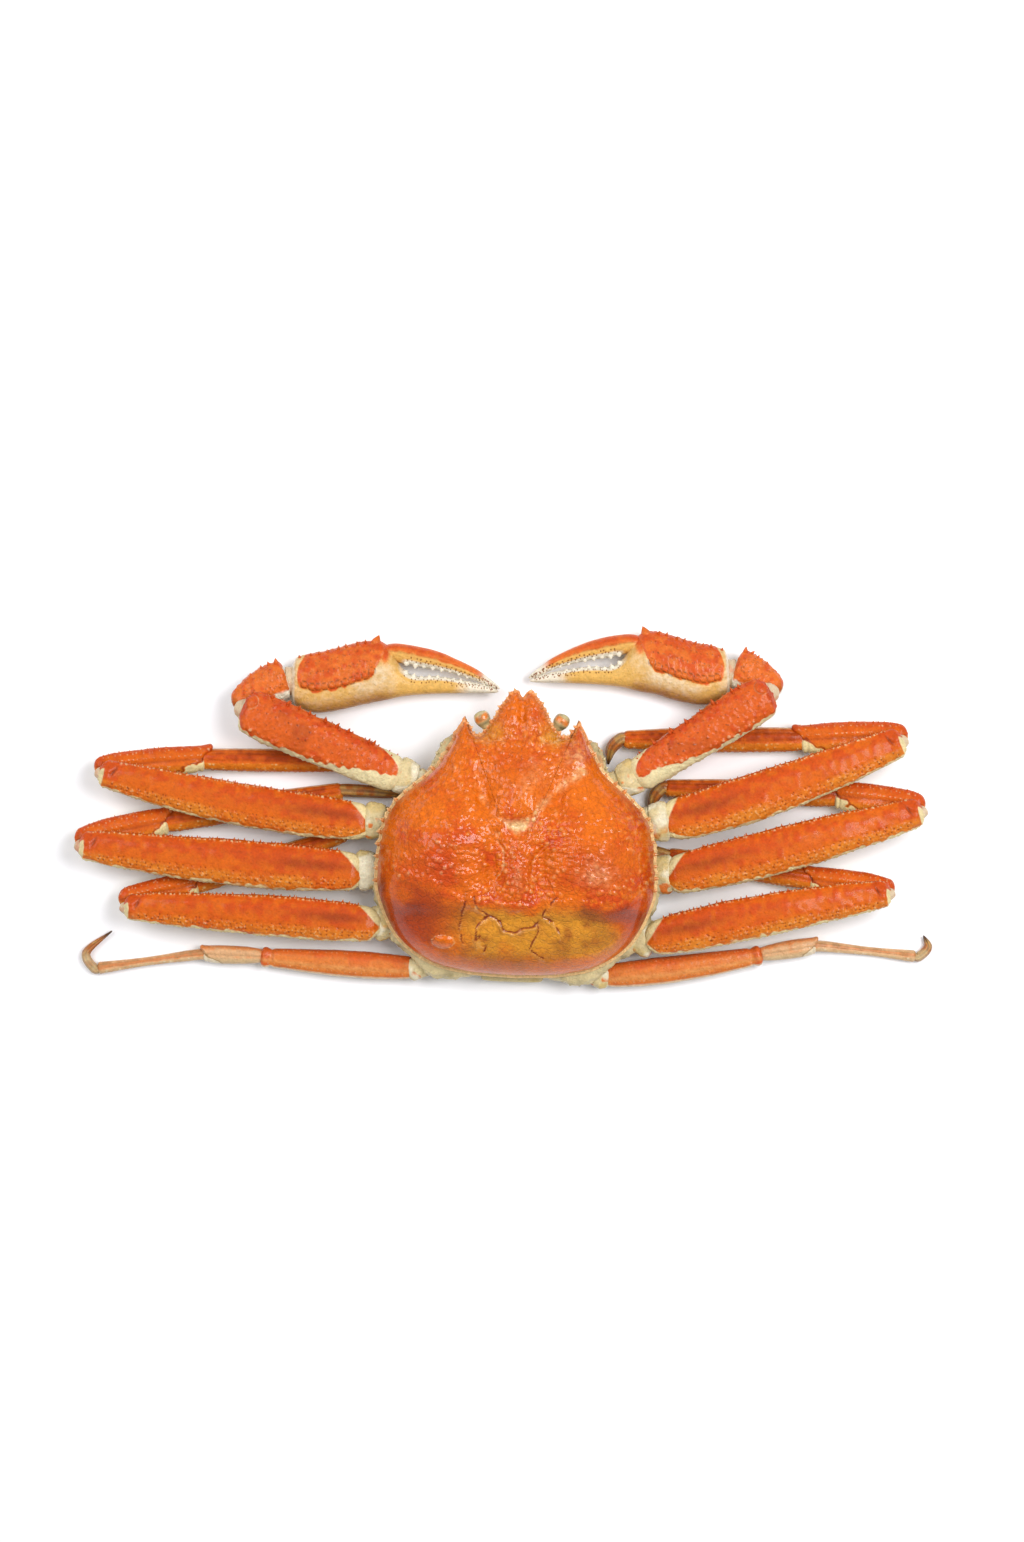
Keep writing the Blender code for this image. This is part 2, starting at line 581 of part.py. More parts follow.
def abdomen(body):
    """The tail flap, folded forward under the trunk. Its flat underside is what the crab rests on."""
    rows = [
        (0, -47.6, 9.5, 13.0, 1.6), (0, -45.8, 5.0, 14.0, 1.7), (0, -40.0, 2.0, 14.5, 1.9),
        (0, -28.0, 1.5, 13.0, 2.0), (0, -10.0, 1.5, 10.0, 2.0), (0, 8.0, 1.5, 8.0, 2.0), (0, 20.0, 1.5, 5.0, 1.8),
    ]
    return tube("abdomen", rows, CREAM, sides=8, rings=6, rounding=(1.5, 3.0), squareness=4.0, parent=body)


def eye(name, side, body):
    """A ball on a short stalk that comes out of the socket beside the horns."""
    stations = [
        (9.6, 54.5, 21.6, 1.9), (12.4, 58.6, 22.6, 2.0), (14.6, 61.6, 23.6, 1.9), (15.6, 63.2, 24.2, 2.6),
        (16.6, 64.8, 24.8, 3.4), (17.5, 66.2, 25.2, 3.5), (18.4, 67.5, 25.5, 2.9), (18.9, 68.4, 25.8, 1.6),
    ]
    rows = [(side * x, y, z, radius, radius) for x, y, z, radius in stations]
    return tube(name, rows, EYE, sides=8, rings=6, rounding=(1.0, 1.0), squareness=2.0, parent=body)


def mouthpart(name, side, body):
    """One of the two plates that close the mouth, lying on the front of the trunk."""
    stations = [(5.6, 34.0, 2.6, 3.6), (5.6, 42.0, 3.4, 4.4), (5.4, 50.0, 7.4, 4.4), (5.2, 56.0, 14.0, 3.8)]
    rows = [(side * x, y, z, wide, 1.9) for x, y, z, wide in stations]
    return tube(name, rows, CREAM, sides=8, rings=3, rounding=(1.6, 1.6), squareness=3.0, parent=body)


def build():
    clear_scene()
    body = anchor("body", turn=-BODY_TURN)
    shell = carapace(body)
    trunk = thorax(body)
    neighbours = [abdomen(body)]
    for side, word in ((1, "right"), (-1, "left")):
        ball = eye("eye_" + word, side, body)
        cut(shell, ball)
        neighbours += [ball, mouthpart("mouthpart_" + word, side, body)]
    neighbours += [claw(name, spec) for name, spec in CLAWS.items()]
    neighbours += [folded_leg(name, spec) for name, spec in FOLDED_LEGS.items()]
    neighbours += [stretched_leg(name, spec) for name, spec in STRETCHED_LEGS.items()]
    bpy.context.view_layer.update()
    cut(trunk, *neighbours)


build()
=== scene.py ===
# %% [markdown]
# # A cooked snow crab, from plain solids to a finished look
#
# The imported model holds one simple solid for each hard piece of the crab. Here every one of them
# is hidden behind a finely shaped surface that lies in the same place, with the bumps, thorns,
# pits and colours of the real shell. Lengths are in millimetres until a mesh is made.

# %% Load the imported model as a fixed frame
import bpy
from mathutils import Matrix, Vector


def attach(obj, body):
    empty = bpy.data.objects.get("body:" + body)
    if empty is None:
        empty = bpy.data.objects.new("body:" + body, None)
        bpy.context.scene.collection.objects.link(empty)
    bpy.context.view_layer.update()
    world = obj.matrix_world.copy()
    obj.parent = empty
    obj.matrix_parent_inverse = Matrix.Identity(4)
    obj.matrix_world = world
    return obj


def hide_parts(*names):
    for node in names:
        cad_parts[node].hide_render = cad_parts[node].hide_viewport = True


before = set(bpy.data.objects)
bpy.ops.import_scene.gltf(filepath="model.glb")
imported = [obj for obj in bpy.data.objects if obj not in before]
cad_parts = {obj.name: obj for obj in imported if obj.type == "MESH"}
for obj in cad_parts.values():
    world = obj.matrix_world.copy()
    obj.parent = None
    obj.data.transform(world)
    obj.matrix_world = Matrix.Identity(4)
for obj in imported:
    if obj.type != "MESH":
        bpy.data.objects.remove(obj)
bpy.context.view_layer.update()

# %% [markdown]
# ## Helpers for whole arrays
#
# Soft steps, bells, smooth curves and a cloudy random field are all that the shapes need. Each
# works on whole numpy arrays, so that a shell of ninety thousand points takes a fraction of a second.

# %% Units, steps, bells and curves
import math

import bpy
import numpy as np

MM = 0.001
LATTICE = 24
GRAIN_LATTICE = 16
CURVE_STEPS = 500
MASKS = ("pale", "red", "brown", "amber")


def ease(low, high, x):
    """0 before low, 1 after high, and between them t * t * (3 - 2 * t)."""
    t = np.clip((np.asarray(x, float) - low) / (high - low), 0, 1)
    return t * t * (3 - 2 * t)


def hill(x, middle, spread):
    """A bell: e to the power of minus ((x - middle) / spread) squared."""
    return np.exp(-(((np.asarray(x, float) - middle) / spread) ** 2))


def curve_through(rows, count):
    """A Catmull-Rom curve through the rows, read at equal steps of its length in space."""
    rows = np.asarray(rows, float)
    padded = np.vstack([2 * rows[0] - rows[1], rows, 2 * rows[-1] - rows[-2]])
    t = np.linspace(0, len(rows) - 1 - 1e-9, 60 * len(rows))
    i = t.astype(int)
    f = (t - i)[:, None]
    a, b, c, d = (padded[i + k] for k in range(4))
    fine = 0.5 * (2 * b + (c - a) * f + (2 * a - 5 * b + 4 * c - d) * f**2 + (3 * b - a - 3 * c + d) * f**3)
    steps = np.linalg.norm(np.diff(fine[:, :3], axis=0), axis=1)
    along = np.concatenate([[0], np.cumsum(steps)])
    wanted = np.linspace(0, along[-1], count)
    return np.column_stack([np.interp(wanted, along, column) for column in fine.T])


def unit(vectors):
    """Vectors made one long, along the last axis."""
    return vectors / np.linalg.norm(vectors, axis=-1, keepdims=True)


def oval(plan, middle_x, middle_y, across, along):
    """A bell in the plan: e to the power of minus the squared distance, counted in half-axes."""
    x, y = plan[..., 0], plan[..., 1]
    return np.exp(-(((x - middle_x) / across) ** 2) - ((y - middle_y) / along) ** 2)


def cloud(points, size, seed):
    """Smooth random values between 0 and 1: lattice corners hold fixed draws, blended in between."""
    lattice = np.random.default_rng(seed).random((LATTICE, LATTICE, LATTICE))
    place = points / size + 7.3
    low = np.floor(place).astype(int)
    f = place - low
    f = f * f * (3 - 2 * f)
    total = 0.0
    for corner in np.ndindex(2, 2, 2):
        weight = np.where(corner, f, 1 - f)
        i, j, k = np.moveaxis((low + corner) % LATTICE, -1, 0)
        total = total + weight[..., 0] * weight[..., 1] * weight[..., 2] * lattice[i, j, k]
    return total


def bumps(points, centres, radii, heights):
    """Round bumps, the tallest winning: height * (1 - (distance / radius)^2)^2 within the radius."""
    field = np.zeros(points.shape[:-1])
    radii, heights = np.broadcast_to(radii, len(centres)), np.broadcast_to(heights, len(centres))
    for centre, radius, height in zip(centres, radii, heights):
        inside = np.clip(1 - ((points - centre) ** 2).sum(-1) / radius**2, 0, None)
        np.maximum(field, height * inside * inside, out=field)
    return field


def pebbles(points, cell, seed):
    """Packed round grains: each lattice cell holds one at a random place, (1 - (distance / radius)^2)^2."""
    draws = np.random.default_rng(seed).random((GRAIN_LATTICE, GRAIN_LATTICE, GRAIN_LATTICE, 4))
    home = np.floor(points / cell).astype(int)
    field = np.zeros(points.shape[:-1])
    for step in np.ndindex(3, 3, 3):
        corner = home + np.array(step) - 1
        i, j, k = np.moveaxis(corner % GRAIN_LATTICE, -1, 0)
        draw = draws[i, j, k]
        away = ((points - (corner + 0.15 + 0.7 * draw[..., :3]) * cell) ** 2).sum(-1)
        inside = np.clip(1 - away / (cell * (0.35 + 0.35 * draw[..., 3])) ** 2, 0, None)
        np.maximum(field, inside * inside, out=field)
    return field


def line_mask(plan, path, width):
    """1 on a broken line, falling as a bell with the distance to it."""
    path = np.asarray(path, float)
    nearest = np.full(plan.shape[:-1], 1e9)
    for start, end in zip(path, path[1:]):
        run = end - start
        share = np.clip(((plan - start) @ run) / (run @ run), 0, 1)
        away = np.linalg.norm(plan - start - share[..., None] * run, axis=-1)
        nearest = np.minimum(nearest, away)
    return np.exp(-((nearest / width) ** 2))


print("a curve through three corners has", len(curve_through([(0, 0, 0), (1, 0, 0), (1, 1, 0)], 9)), "points")

# %% [markdown]
# ## A skin of rings
#
# Every hard piece of a crab is a closed tube or dome, so one kind of surface serves for all: rings
# of points along a run, closed by a pole at each end. The skin knows where its front edge, rear
# edge, top and underside are, so that thorns and colours can be placed by these words.

# %% The skin and how it is swept along a limb
class Skin:
    """A closed surface on a grid: rings along a run, a pole at each end, and four colour masks.

    share goes from 0 to 1 along the run, across is +1 at the front edge and -1 at the rear edge, and
    rise is +1 on top and -1 below. tint holds the masks pale, red, brown and amber.
    """

    def __init__(self, points, poles, share, across=0.0, rise=0.0, squareness=2.4):
        self.points, self.poles = points, np.asarray(poles, float)
        self.share = np.broadcast_to(share[:, None], points.shape[:2])
        self.across = np.broadcast_to(across, points.shape[:2])
        self.rise = np.broadcast_to(rise, points.shape[:2])
        self.squareness = squareness
        self.tint = np.zeros((*points.shape[:2], 4))
        outward = (self.raw_normals() * (points - points.mean(1, keepdims=True))).sum()
        self.turn = 1.0 if outward > 0 else -1.0

    def raw_normals(self):
        """Cross product of the step along the run and the step around the ring, made one long."""
        along = np.gradient(self.points, axis=0)
        around = np.roll(self.points, -1, 1) - np.roll(self.points, 1, 1)
        normal = np.cross(along, around)
        return normal / np.maximum(np.linalg.norm(normal, axis=-1, keepdims=True), 1e-9)

    def push(self, height):
        """Moves every point along the normal by the height in millimetres."""
        self.points = self.points + self.raw_normals() * self.turn * np.asarray(height)[..., None]

    def paint(self, **amounts):
        """Lays colour masks over what is there: the larger of the two values stays."""
        for mask, amount in amounts.items():
            channel = MASKS.index(mask)
            self.tint[..., channel] = np.maximum(self.tint[..., channel], np.clip(amount, 0, 1))

    def cloudy(self, size, seed):
        """The cloud at the skin's points, moved to lie between -0.5 and 0.5."""
        return cloud(self.points, size, seed) - 0.5

    def at(self, share, across, top=1):
        """Points and normals at shares along the run and places across it, on top or below."""
        share, across, top = np.broadcast_arrays(np.asarray(share, float), across, top)
        ring = np.abs(self.share[:, 0][None] - share[:, None]).argmin(1)
        cosine = np.sign(across) * np.abs(across) ** (self.squareness / 2)
        angle = np.arccos(np.clip(cosine, -1, 1)) * np.where(top > 0, 1, -1)
        side = np.round(angle / (2 * math.pi) * self.points.shape[1]).astype(int)
        side = side % self.points.shape[1]
        return self.points[ring, side], (self.raw_normals() * self.turn)[ring, side]

    def mesh(self):
        """Quads between the rings and triangles at the poles, all facing outwards."""
        rings, sides = self.points.shape[:2]
        index = np.arange(rings * sides).reshape(rings, sides)
        right = np.roll(index, -1, 1)
        quads = np.stack([index[:-1], right[:-1], right[1:], index[1:]], -1).reshape(-1, 4)
        first, last = rings * sides, rings * sides + 1
        start = np.stack([np.full(sides, first), right[0], index[0]], -1)
        end = np.stack([np.full(sides, last), index[-1], right[-1]], -1)
        tris = np.vstack([start, end])
        if self.turn > 0:
            quads, tris = quads[:, ::-1], tris[:, ::-1]
        verts = np.vstack([self.points.reshape(-1, 3), self.poles])
        verts[:, 2] = np.maximum(verts[:, 2], 0.0)
        tint = np.vstack([self.tint.reshape(-1, 4), self.tint[0].mean(0), self.tint[-1].mean(0)])
        return verts, quads, tris, tint


def sweep(rows, rings, sides, squareness=2.4, rounding=(4.0, 4.0), straight=False):
    """Sweeps a superellipse, across^n + rise^n = 1, along rows of x, y, z, half-width, half-height.

    The ends are rounded: with e the distance from the end over the rounding, the ring shrinks by
    sqrt(1 - (1 - e)^2). Nothing goes below the table.
    """
    fine = curve_through(rows, CURVE_STEPS)
    length = np.linalg.norm(np.diff(fine[:, :3], axis=0), axis=1).sum()
    first, last = rounding
    cap = max(6, rings // 9)
    theta = np.linspace(0, math.pi / 2, cap + 1)[1:]
    middle = np.linspace(first, length - last, rings - 2 * cap + 2)[1:-1]
    place = np.concatenate([first * (1 - np.cos(theta)), middle, (length - last * (1 - np.cos(theta)))[::-1]])
    ticks = np.linspace(0, length, CURVE_STEPS)
    x, y, z, wide, high = (np.interp(place, ticks, column) for column in fine.T)
    shrink = np.sqrt(1 - (1 - np.minimum(np.minimum(place / first, (length - place) / last), 1)) ** 2)
    centre = np.stack([x, y, z], -1)
    chord = fine[-1, :3] - fine[0, :3]
    handed = 1.0 if np.cross((0, 0, 1), chord)[1] >= 0 else -1.0
    slope = np.gradient(fine[:, :3], axis=0)
    run = np.stack([np.interp(place, ticks, column) for column in slope.T], -1)
    run = np.broadcast_to(chord, run.shape) if straight else run
    run = unit(run)
    broad = unit(np.cross((0, 0, handed), run))
    up = np.cross(run, broad)
    up *= np.where(up[:, 2:] < 0, -1, 1)
    angle = np.linspace(0, 2 * math.pi, sides, endpoint=False)
    across = np.sign(np.cos(angle)) * np.abs(np.cos(angle)) ** (2 / squareness)
    rise = np.sign(np.sin(angle)) * np.abs(np.sin(angle)) ** (2 / squareness)
    points = centre[:, None] + broad[:, None] * (across * (wide * shrink)[:, None])[..., None]
    points = points + up[:, None] * (rise * (high * shrink)[:, None])[..., None]
    points[..., 2] = np.maximum(points[..., 2], 0.02)
    return Skin(points, [fine[0, :3], fine[-1, :3]], place / length, across, rise, squareness)


print("a sweep has", sweep([(0, 0, 5, 2, 2), (20, 0, 5, 2, 2)], 40, 24).points.shape, "points")

# %% [markdown]
# ## Thorns and bristles
#
# The edges of the limbs carry rows of short thorns, and the fingers carry dark bristles. Each is a
# tiny closed cone. They are worked out all at once from one pattern cone, and joined into the mesh
# of the piece that they stand on.

# %% Cones in bulk
def cones(
    bases, directions, lengths, radii, sides=6, tint_root=(0, 0, 0, 0), tint_tip=(1, 0, 0, 0),
):
    """Closed cones: at height h the radius is r * (1 - h)^0.8, and the root is sunk by half a radius."""
    bases, directions = np.atleast_2d(bases).astype(float), np.atleast_2d(directions).astype(float)
    directions = unit(directions)
    count = len(bases)
    lengths, radii = np.broadcast_to(lengths, count), np.broadcast_to(radii, count)
    helper = np.where(np.abs(directions[:, 2:]) > 0.9, (1.0, 0, 0), (0, 0, 1.0))
    side = unit(np.cross(directions, helper))
    other = np.cross(directions, side)
    levels = np.array([0.0, 0.35, 0.7, 0.92]) if sides > 4 else np.array([0.0, 0.75])
    angle = np.linspace(0, 2 * math.pi, sides, endpoint=False)
    ring = side[:, None] * np.cos(angle)[None, :, None] + other[:, None] * np.sin(angle)[None, :, None]
    layers = []
    for level in levels:
        reach = directions * (level * lengths - 0.5 * radii * (level == 0))[:, None]
        layers.append((bases + reach)[:, None] + ring * (radii * (1 - level) ** 0.8)[:, None, None])
    tips = (bases + directions * lengths[:, None])[:, None]
    roots = (bases - directions * 0.7 * radii[:, None])[:, None]
    verts = np.concatenate([*layers, tips, roots], axis=1)
    each = verts.shape[1]
    index = np.arange(len(levels) * sides).reshape(len(levels), sides)
    right = np.roll(index, -1, 1)
    quads = np.stack([index[:-1], right[:-1], right[1:], index[1:]], -1).reshape(-1, 4)
    tris = np.vstack([
        np.stack([index[-1], right[-1], np.full(sides, each - 2)], -1),
        np.stack([right[0], index[0], np.full(sides, each - 1)], -1),
    ])
    offset = (np.arange(count) * each)[:, None, None]
    mix = np.concatenate([np.repeat(levels, sides), [1.0, 0.0]])[:, None]
    tint = np.asarray(tint_root, float) * (1 - mix) + np.asarray(tint_tip, float) * mix
    quads, tris = (quads + offset).reshape(-1, 4), (tris + offset).reshape(-1, 3)
    return verts.reshape(-1, 3), quads, tris, np.tile(tint, (count, 1))


def joined(parts):
    """Several meshes as one, their faces renumbered."""
    verts, quads, tris, tints, start = [], [], [], [], 0
    for part_verts, part_quads, part_tris, part_tint in parts:
        verts.append(part_verts)
        quads.append(part_quads + start)
        tris.append(part_tris + start)
        tints.append(part_tint)
        start += len(part_verts)
    return np.vstack(verts), np.vstack(quads), np.vstack(tris), np.vstack(tints)


print("ten thorns have", len(cones(np.zeros((10, 3)), np.tile((0, 0, 1.0), (10, 1)), 1.0, 0.4)[0]), "points")

# %% [markdown]
# ## The wet shell finish
#
# Cooked shell is one waxy, wet material whose colour wanders between orange, red, amber, brown and
# cream. A node group mixes five colours by the masks painted on each mesh, breaks their borders
# with noise, and adds the fine mottling and grain. Every material uses it with its own colours.

# %% Node helpers and the shared colour group
OVER_WHITE = 1.28


def tone(red, green, blue):
    """A screen colour from 0 to 255 as linear light, less the share by which the table is lit above white."""
    c = np.array([red, green, blue]) / 255
    linear = np.where(c <= 0.04045, c / 12.92, ((c + 0.055) / 1.055) ** 2.4) / OVER_WHITE
    return (*linear.tolist(), 1.0)


def feed(tree, node, inputs):
    """Wires a socket to each given input of the node, or sets the input to a plain value."""
    for key, value in inputs.items():
        if isinstance(value, bpy.types.NodeSocket):
            tree.links.new(value, node.inputs[key])
        else:
            node.inputs[key].default_value = value


def put(tree, kind, inputs=None, **settings):
    """Adds a node, sets its properties and feeds its inputs."""
    node = tree.nodes.new(kind)
    for key, value in settings.items():
        setattr(node, key, value)
    feed(tree, node, inputs or {})
    return node


def mix_colours(tree, factor, first, second, blend="MIX"):
    """A colour mix; each argument is a socket or a plain value."""
    node = put(tree, "ShaderNodeMix", {0: factor, 6: first, 7: second}, data_type="RGBA", blend_type=blend)
    return node.outputs[2]


def maths(tree, operation, *values):
    """A Math node; each value is a socket or a number."""
    return put(tree, "ShaderNodeMath", dict(enumerate(values)), operation=operation).outputs[0]


def stepped(tree, value, low, high):
    """0 below low and 1 above high, with a smooth step between."""
    inputs = {"Value": value, "From Min": low, "From Max": high}
    return put(tree, "ShaderNodeMapRange", inputs, interpolation_type="SMOOTHSTEP").outputs["Result"]


def cooked_colour_group():
    """Masks and noise in, colour, roughness and height out."""
    tree = bpy.data.node_groups.new("Cooked shell colour", "ShaderNodeTree")
    for name in ("Base", "Red", "Amber", "Brown", "Pale"):
        tree.interface.new_socket(name, in_out="INPUT", socket_type="NodeSocketColor")
    for name in ("Mottle", "Grain size", "Roughness", "Crackle"):
        tree.interface.new_socket(name, in_out="INPUT", socket_type="NodeSocketFloat")
    tree.interface.new_socket("Color", in_out="OUTPUT", socket_type="NodeSocketColor")
    for name in ("Roughness", "Height"):
        tree.interface.new_socket(name, in_out="OUTPUT", socket_type="NodeSocketFloat")
    given = tree.nodes.new("NodeGroupInput").outputs
    made = tree.nodes.new("NodeGroupOutput").inputs
    place = put(tree, "ShaderNodeTexCoord").outputs["Object"]
    masks = put(tree, "ShaderNodeAttribute", attribute_name="tint")
    split = put(tree, "ShaderNodeSeparateColor", {"Color": masks.outputs["Color"]})
    broad = put(tree, "ShaderNodeTexNoise", {"Vector": place, "Scale": 130.0, "Detail": 4.0})
    middling = put(tree, "ShaderNodeTexNoise", {"Vector": place, "Scale": 420.0, "Detail": 5.0})
    grain = put(tree, "ShaderNodeTexNoise", {"Vector": place, "Scale": given["Grain size"], "Detail": 3.0})
    cells = put(tree, "ShaderNodeTexVoronoi", {"Vector": place, "Scale": given["Grain size"]})
    plates = put(tree, "ShaderNodeTexVoronoi", {"Vector": place, "Scale": 340.0}, feature="DISTANCE_TO_EDGE")
    wander = maths(tree, "SUBTRACT", broad.outputs["Fac"], 0.5)
    fray = maths(tree, "SUBTRACT", middling.outputs["Fac"], 0.5)
    fleck = maths(tree, "SUBTRACT", grain.outputs["Fac"], 0.5)
    colour = given["Base"]
    layers = (
        ("Red", split.outputs[1], 2.0), ("Amber", masks.outputs["Alpha"], 1.6),
        ("Brown", split.outputs[2], 1.6),
    )
    for name, mask, wobble in layers:
        room = maths(tree, "MULTIPLY", mask, maths(tree, "SUBTRACT", 1.0, mask))
        moved = maths(tree, "MULTIPLY_ADD", maths(tree, "MULTIPLY", room, wobble), wander, mask)
        moved = maths(tree, "MULTIPLY_ADD", maths(tree, "MULTIPLY", room, 2.4), fray, moved)
        colour = mix_colours(tree, stepped(tree, moved, 0.0, 1.0), colour, given[name])
    rim = maths(tree, "MULTIPLY_ADD", fray, 0.5, split.outputs[0])
    colour = mix_colours(tree, stepped(tree, rim, 0.1, 0.9), colour, given["Pale"])
    shade = maths(tree, "MULTIPLY_ADD", fray, given["Mottle"], 1.0)
    shade = maths(tree, "MULTIPLY_ADD", fleck, given["Mottle"], shade)
    grey = put(tree, "ShaderNodeCombineColor", {"Red": shade, "Green": shade, "Blue": shade}).outputs[0]
    pores = stepped(tree, cells.outputs["Distance"], 0.0, 0.45)
    height = maths(tree, "MULTIPLY_ADD", pores, 0.6, grain.outputs["Fac"])
    height = maths(tree, "MULTIPLY_ADD", middling.outputs["Fac"], 1.6, height)
    valleys = stepped(tree, plates.outputs["Distance"], 0.0, 0.12)
    tree.links.new(mix_colours(tree, 1.0, colour, grey, blend="MULTIPLY"), made["Color"])
    tree.links.new(maths(tree, "MULTIPLY_ADD", fray, 0.3, given["Roughness"]), made["Roughness"])
    tree.links.new(maths(tree, "MULTIPLY_ADD", valleys, given["Crackle"], height), made["Height"])
    return tree


cooked_colour = cooked_colour_group()
print("colour group sockets:", [item.name for item in cooked_colour.interface.items_tree])

# %% [markdown]
# ## Materials
#
# The back shell, the long legs, the small legs, the claws, the pale underside, the horny tips, the
# soft joint skin and the eyes differ in colour and gloss. All are wet, so each has a thin clear coat
# over the waxy base and lets a little light in.

# %% Materials with their own colours
GRAIN_SCALE = 1000.0
BUMP_DEPTH = 0.0005
SCATTER = (0.0012, 0.0005, 0.0002)


def wet_shell(
    name, base, red, amber, brown, pale, roughness=0.45, mottle=0.5, wet=0.2, crackle=0.0, specular=0.25,
):
    """One finish: the shared colour group feeding a coated shader with a little light under the surface."""
    made = bpy.data.materials.new(name)
    made.use_nodes = True
    tree = made.node_tree
    colours = zip(("Base", "Red", "Amber", "Brown", "Pale"), (base, red, amber, brown, pale))
    inputs = {socket: tone(*colour) for socket, colour in colours}
    inputs |= {"Mottle": mottle, "Grain size": GRAIN_SCALE, "Roughness": roughness, "Crackle": crackle}
    group = put(tree, "ShaderNodeGroup", inputs, node_tree=cooked_colour)
    relief = put(
        tree, "ShaderNodeBump", {"Height": group.outputs["Height"], "Strength": 0.6, "Distance": BUMP_DEPTH},
    )
    feed(tree, tree.nodes["Principled BSDF"], {
        "Base Color": group.outputs["Color"], "Roughness": group.outputs["Roughness"],
        "Normal": relief.outputs["Normal"], "Coat Weight": wet, "Coat Roughness": 0.14,
        "Specular IOR Level": specular, "Subsurface Weight": 0.05, "Subsurface Radius": SCATTER,
    })
    made.diffuse_color = tone(*base)
    return made


LOOKS = {
    "shell": wet_shell(
        "Back shell", (239, 114, 2), (214, 74, 2), (228, 150, 38), (138, 50, 14), (252, 208, 146),
        mottle=0.7, wet=0.6, crackle=0.8, specular=0.1,
    ),
    "leg_shell": wet_shell(
        "Long leg shell", (224, 102, 8), (212, 80, 8), (230, 134, 36), (150, 58, 8), (240, 220, 164),
        specular=0.15, roughness=0.55,
    ),
    "small_leg_shell": wet_shell(
        "Small leg shell", (231, 126, 46), (222, 98, 30), (228, 162, 92), (164, 116, 66), (240, 212, 170),
    ),
    "thin_leg_shell": wet_shell(
        "Thin leg shell", (232, 178, 128), (230, 140, 78), (224, 190, 142), (168, 132, 86), (244, 226, 194),
    ),
    "arm_shell": wet_shell(
        "Claw arm shell", (224, 98, 26), (210, 74, 18), (236, 140, 62), (140, 58, 18), (238, 222, 172),
        specular=0.15, roughness=0.52,
    ),
    "claw_shell": wet_shell(
        "Claw shell", (233, 116, 40), (218, 86, 26), (238, 186, 98), (146, 74, 24), (250, 240, 218),
        specular=0.15,
    ),
    "pale_shell": wet_shell(
        "Pale shell", (228, 208, 156), (228, 122, 44), (222, 190, 116), (152, 140, 104), (242, 232, 200),
        roughness=0.5,
    ),
    "claw_tip": wet_shell(
        "Horny tip", (188, 108, 38), (196, 104, 38), (196, 152, 82), (84, 52, 24), (218, 196, 152),
        roughness=0.4,
    ),
    "eye": wet_shell(
        "Eye", (206, 194, 140), (234, 134, 48), (206, 176, 120), (112, 112, 80), (236, 230, 200),
        roughness=0.25, wet=0.8,
    ),
    "joint_skin": wet_shell(
        "Joint skin", (230, 204, 168), (224, 128, 88), (230, 194, 144), (166, 116, 72), (246, 238, 226),
        mottle=0.2,
    ),
}
print("materials:", [look.name for look in LOOKS.values()])

# %% [markdown]
# ## Turning arrays into pieces
#
# A piece is one mesh that rides on the body, stands for a solid of the imported model and carries
# one of the finishes above.

# %% Make a piece
made_pieces = []


def piece(name, look, parts, node=None, turned=False):
    """Builds a smooth mesh from parts in millimetres; body parts are turned from the body's own axes."""
    verts, quads, tris, tint = joined(parts)
    if turned:
        c, s = math.cos(BODY_TURN), math.sin(BODY_TURN)
        across, along, up = verts.T
        verts = np.column_stack([across * c + along * s, along * c - across * s, up])
    mesh = bpy.data.meshes.new(name)
    mesh.vertices.add(len(verts))
    mesh.vertices.foreach_set("co", (verts * MM).astype(np.float32).ravel())
    corners = np.concatenate([quads.ravel(), tris.ravel()]).astype(np.int32)
    starts = np.concatenate([np.arange(len(quads)) * 4, len(quads) * 4 + np.arange(len(tris)) * 3])
    mesh.loops.add(len(corners))
    mesh.loops.foreach_set("vertex_index", corners)
    mesh.polygons.add(len(starts))
    mesh.polygons.foreach_set("loop_start", starts.astype(np.int32))
    masks = mesh.attributes.new("tint", "FLOAT_COLOR", "POINT")
    masks.data.foreach_set("color", np.clip(tint, 0, 1).astype(np.float32).ravel())
    mesh.update(calc_edges=True)
    mesh.validate()
    mesh.shade_smooth()
    mesh.materials.append(LOOKS[look])
    thing = bpy.data.objects.new(name, mesh)
    bpy.context.scene.collection.objects.link(thing)
    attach(thing, "root")
    if node:
        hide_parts(node)
    made_pieces.append((name, len(quads) * 2 + len(tris)))
    return thing


# %% [markdown]
# ## The back shell
#
# The carapace is a dome that rolls down to a thin margin. Its height is the margin's plane plus a
# lift that fades towards the two horns, times the roll, plus soft swellings for the stomach, heart
# and gill chambers. Rings crowd together near the margin, where the wall is steep.

# %% Outline and height of the back shell
BODY_TURN = math.radians(2.2)
RIM_LEVEL, RIM_SLOPE = 20.6, 0.09
SHELL_LIFT, SIDE_ROLL, FRONT_ROLL = 25.0, 24.0, 7.0
HALF_WIDTH = 61.2
RIM_WIDTH = 0.9
FRONTAL_EDGE = [
    (0.0, 75.2), (1.6, 77.4), (3.2, 78.3), (5.6, 76.6), (8.8, 72.2), (13.0, 64.9),
    (16.2, 60.5), (18.8, 59.0), (21.4, 60.6), (24.5, 66.3),
]
SIDE_MARGIN = [
    (24.5, 66.3), (28.0, 60.6), (31.0, 54.6), (37.0, 44.8), (47.5, 35.4), (55.0, 27.4),
    (59.2, 17.5), (HALF_WIDTH, 0.0), (59.8, -13.0), (51.5, -30.0), (37.0, -41.0),
    (20.0, -45.2), (0.0, -46.3),
]
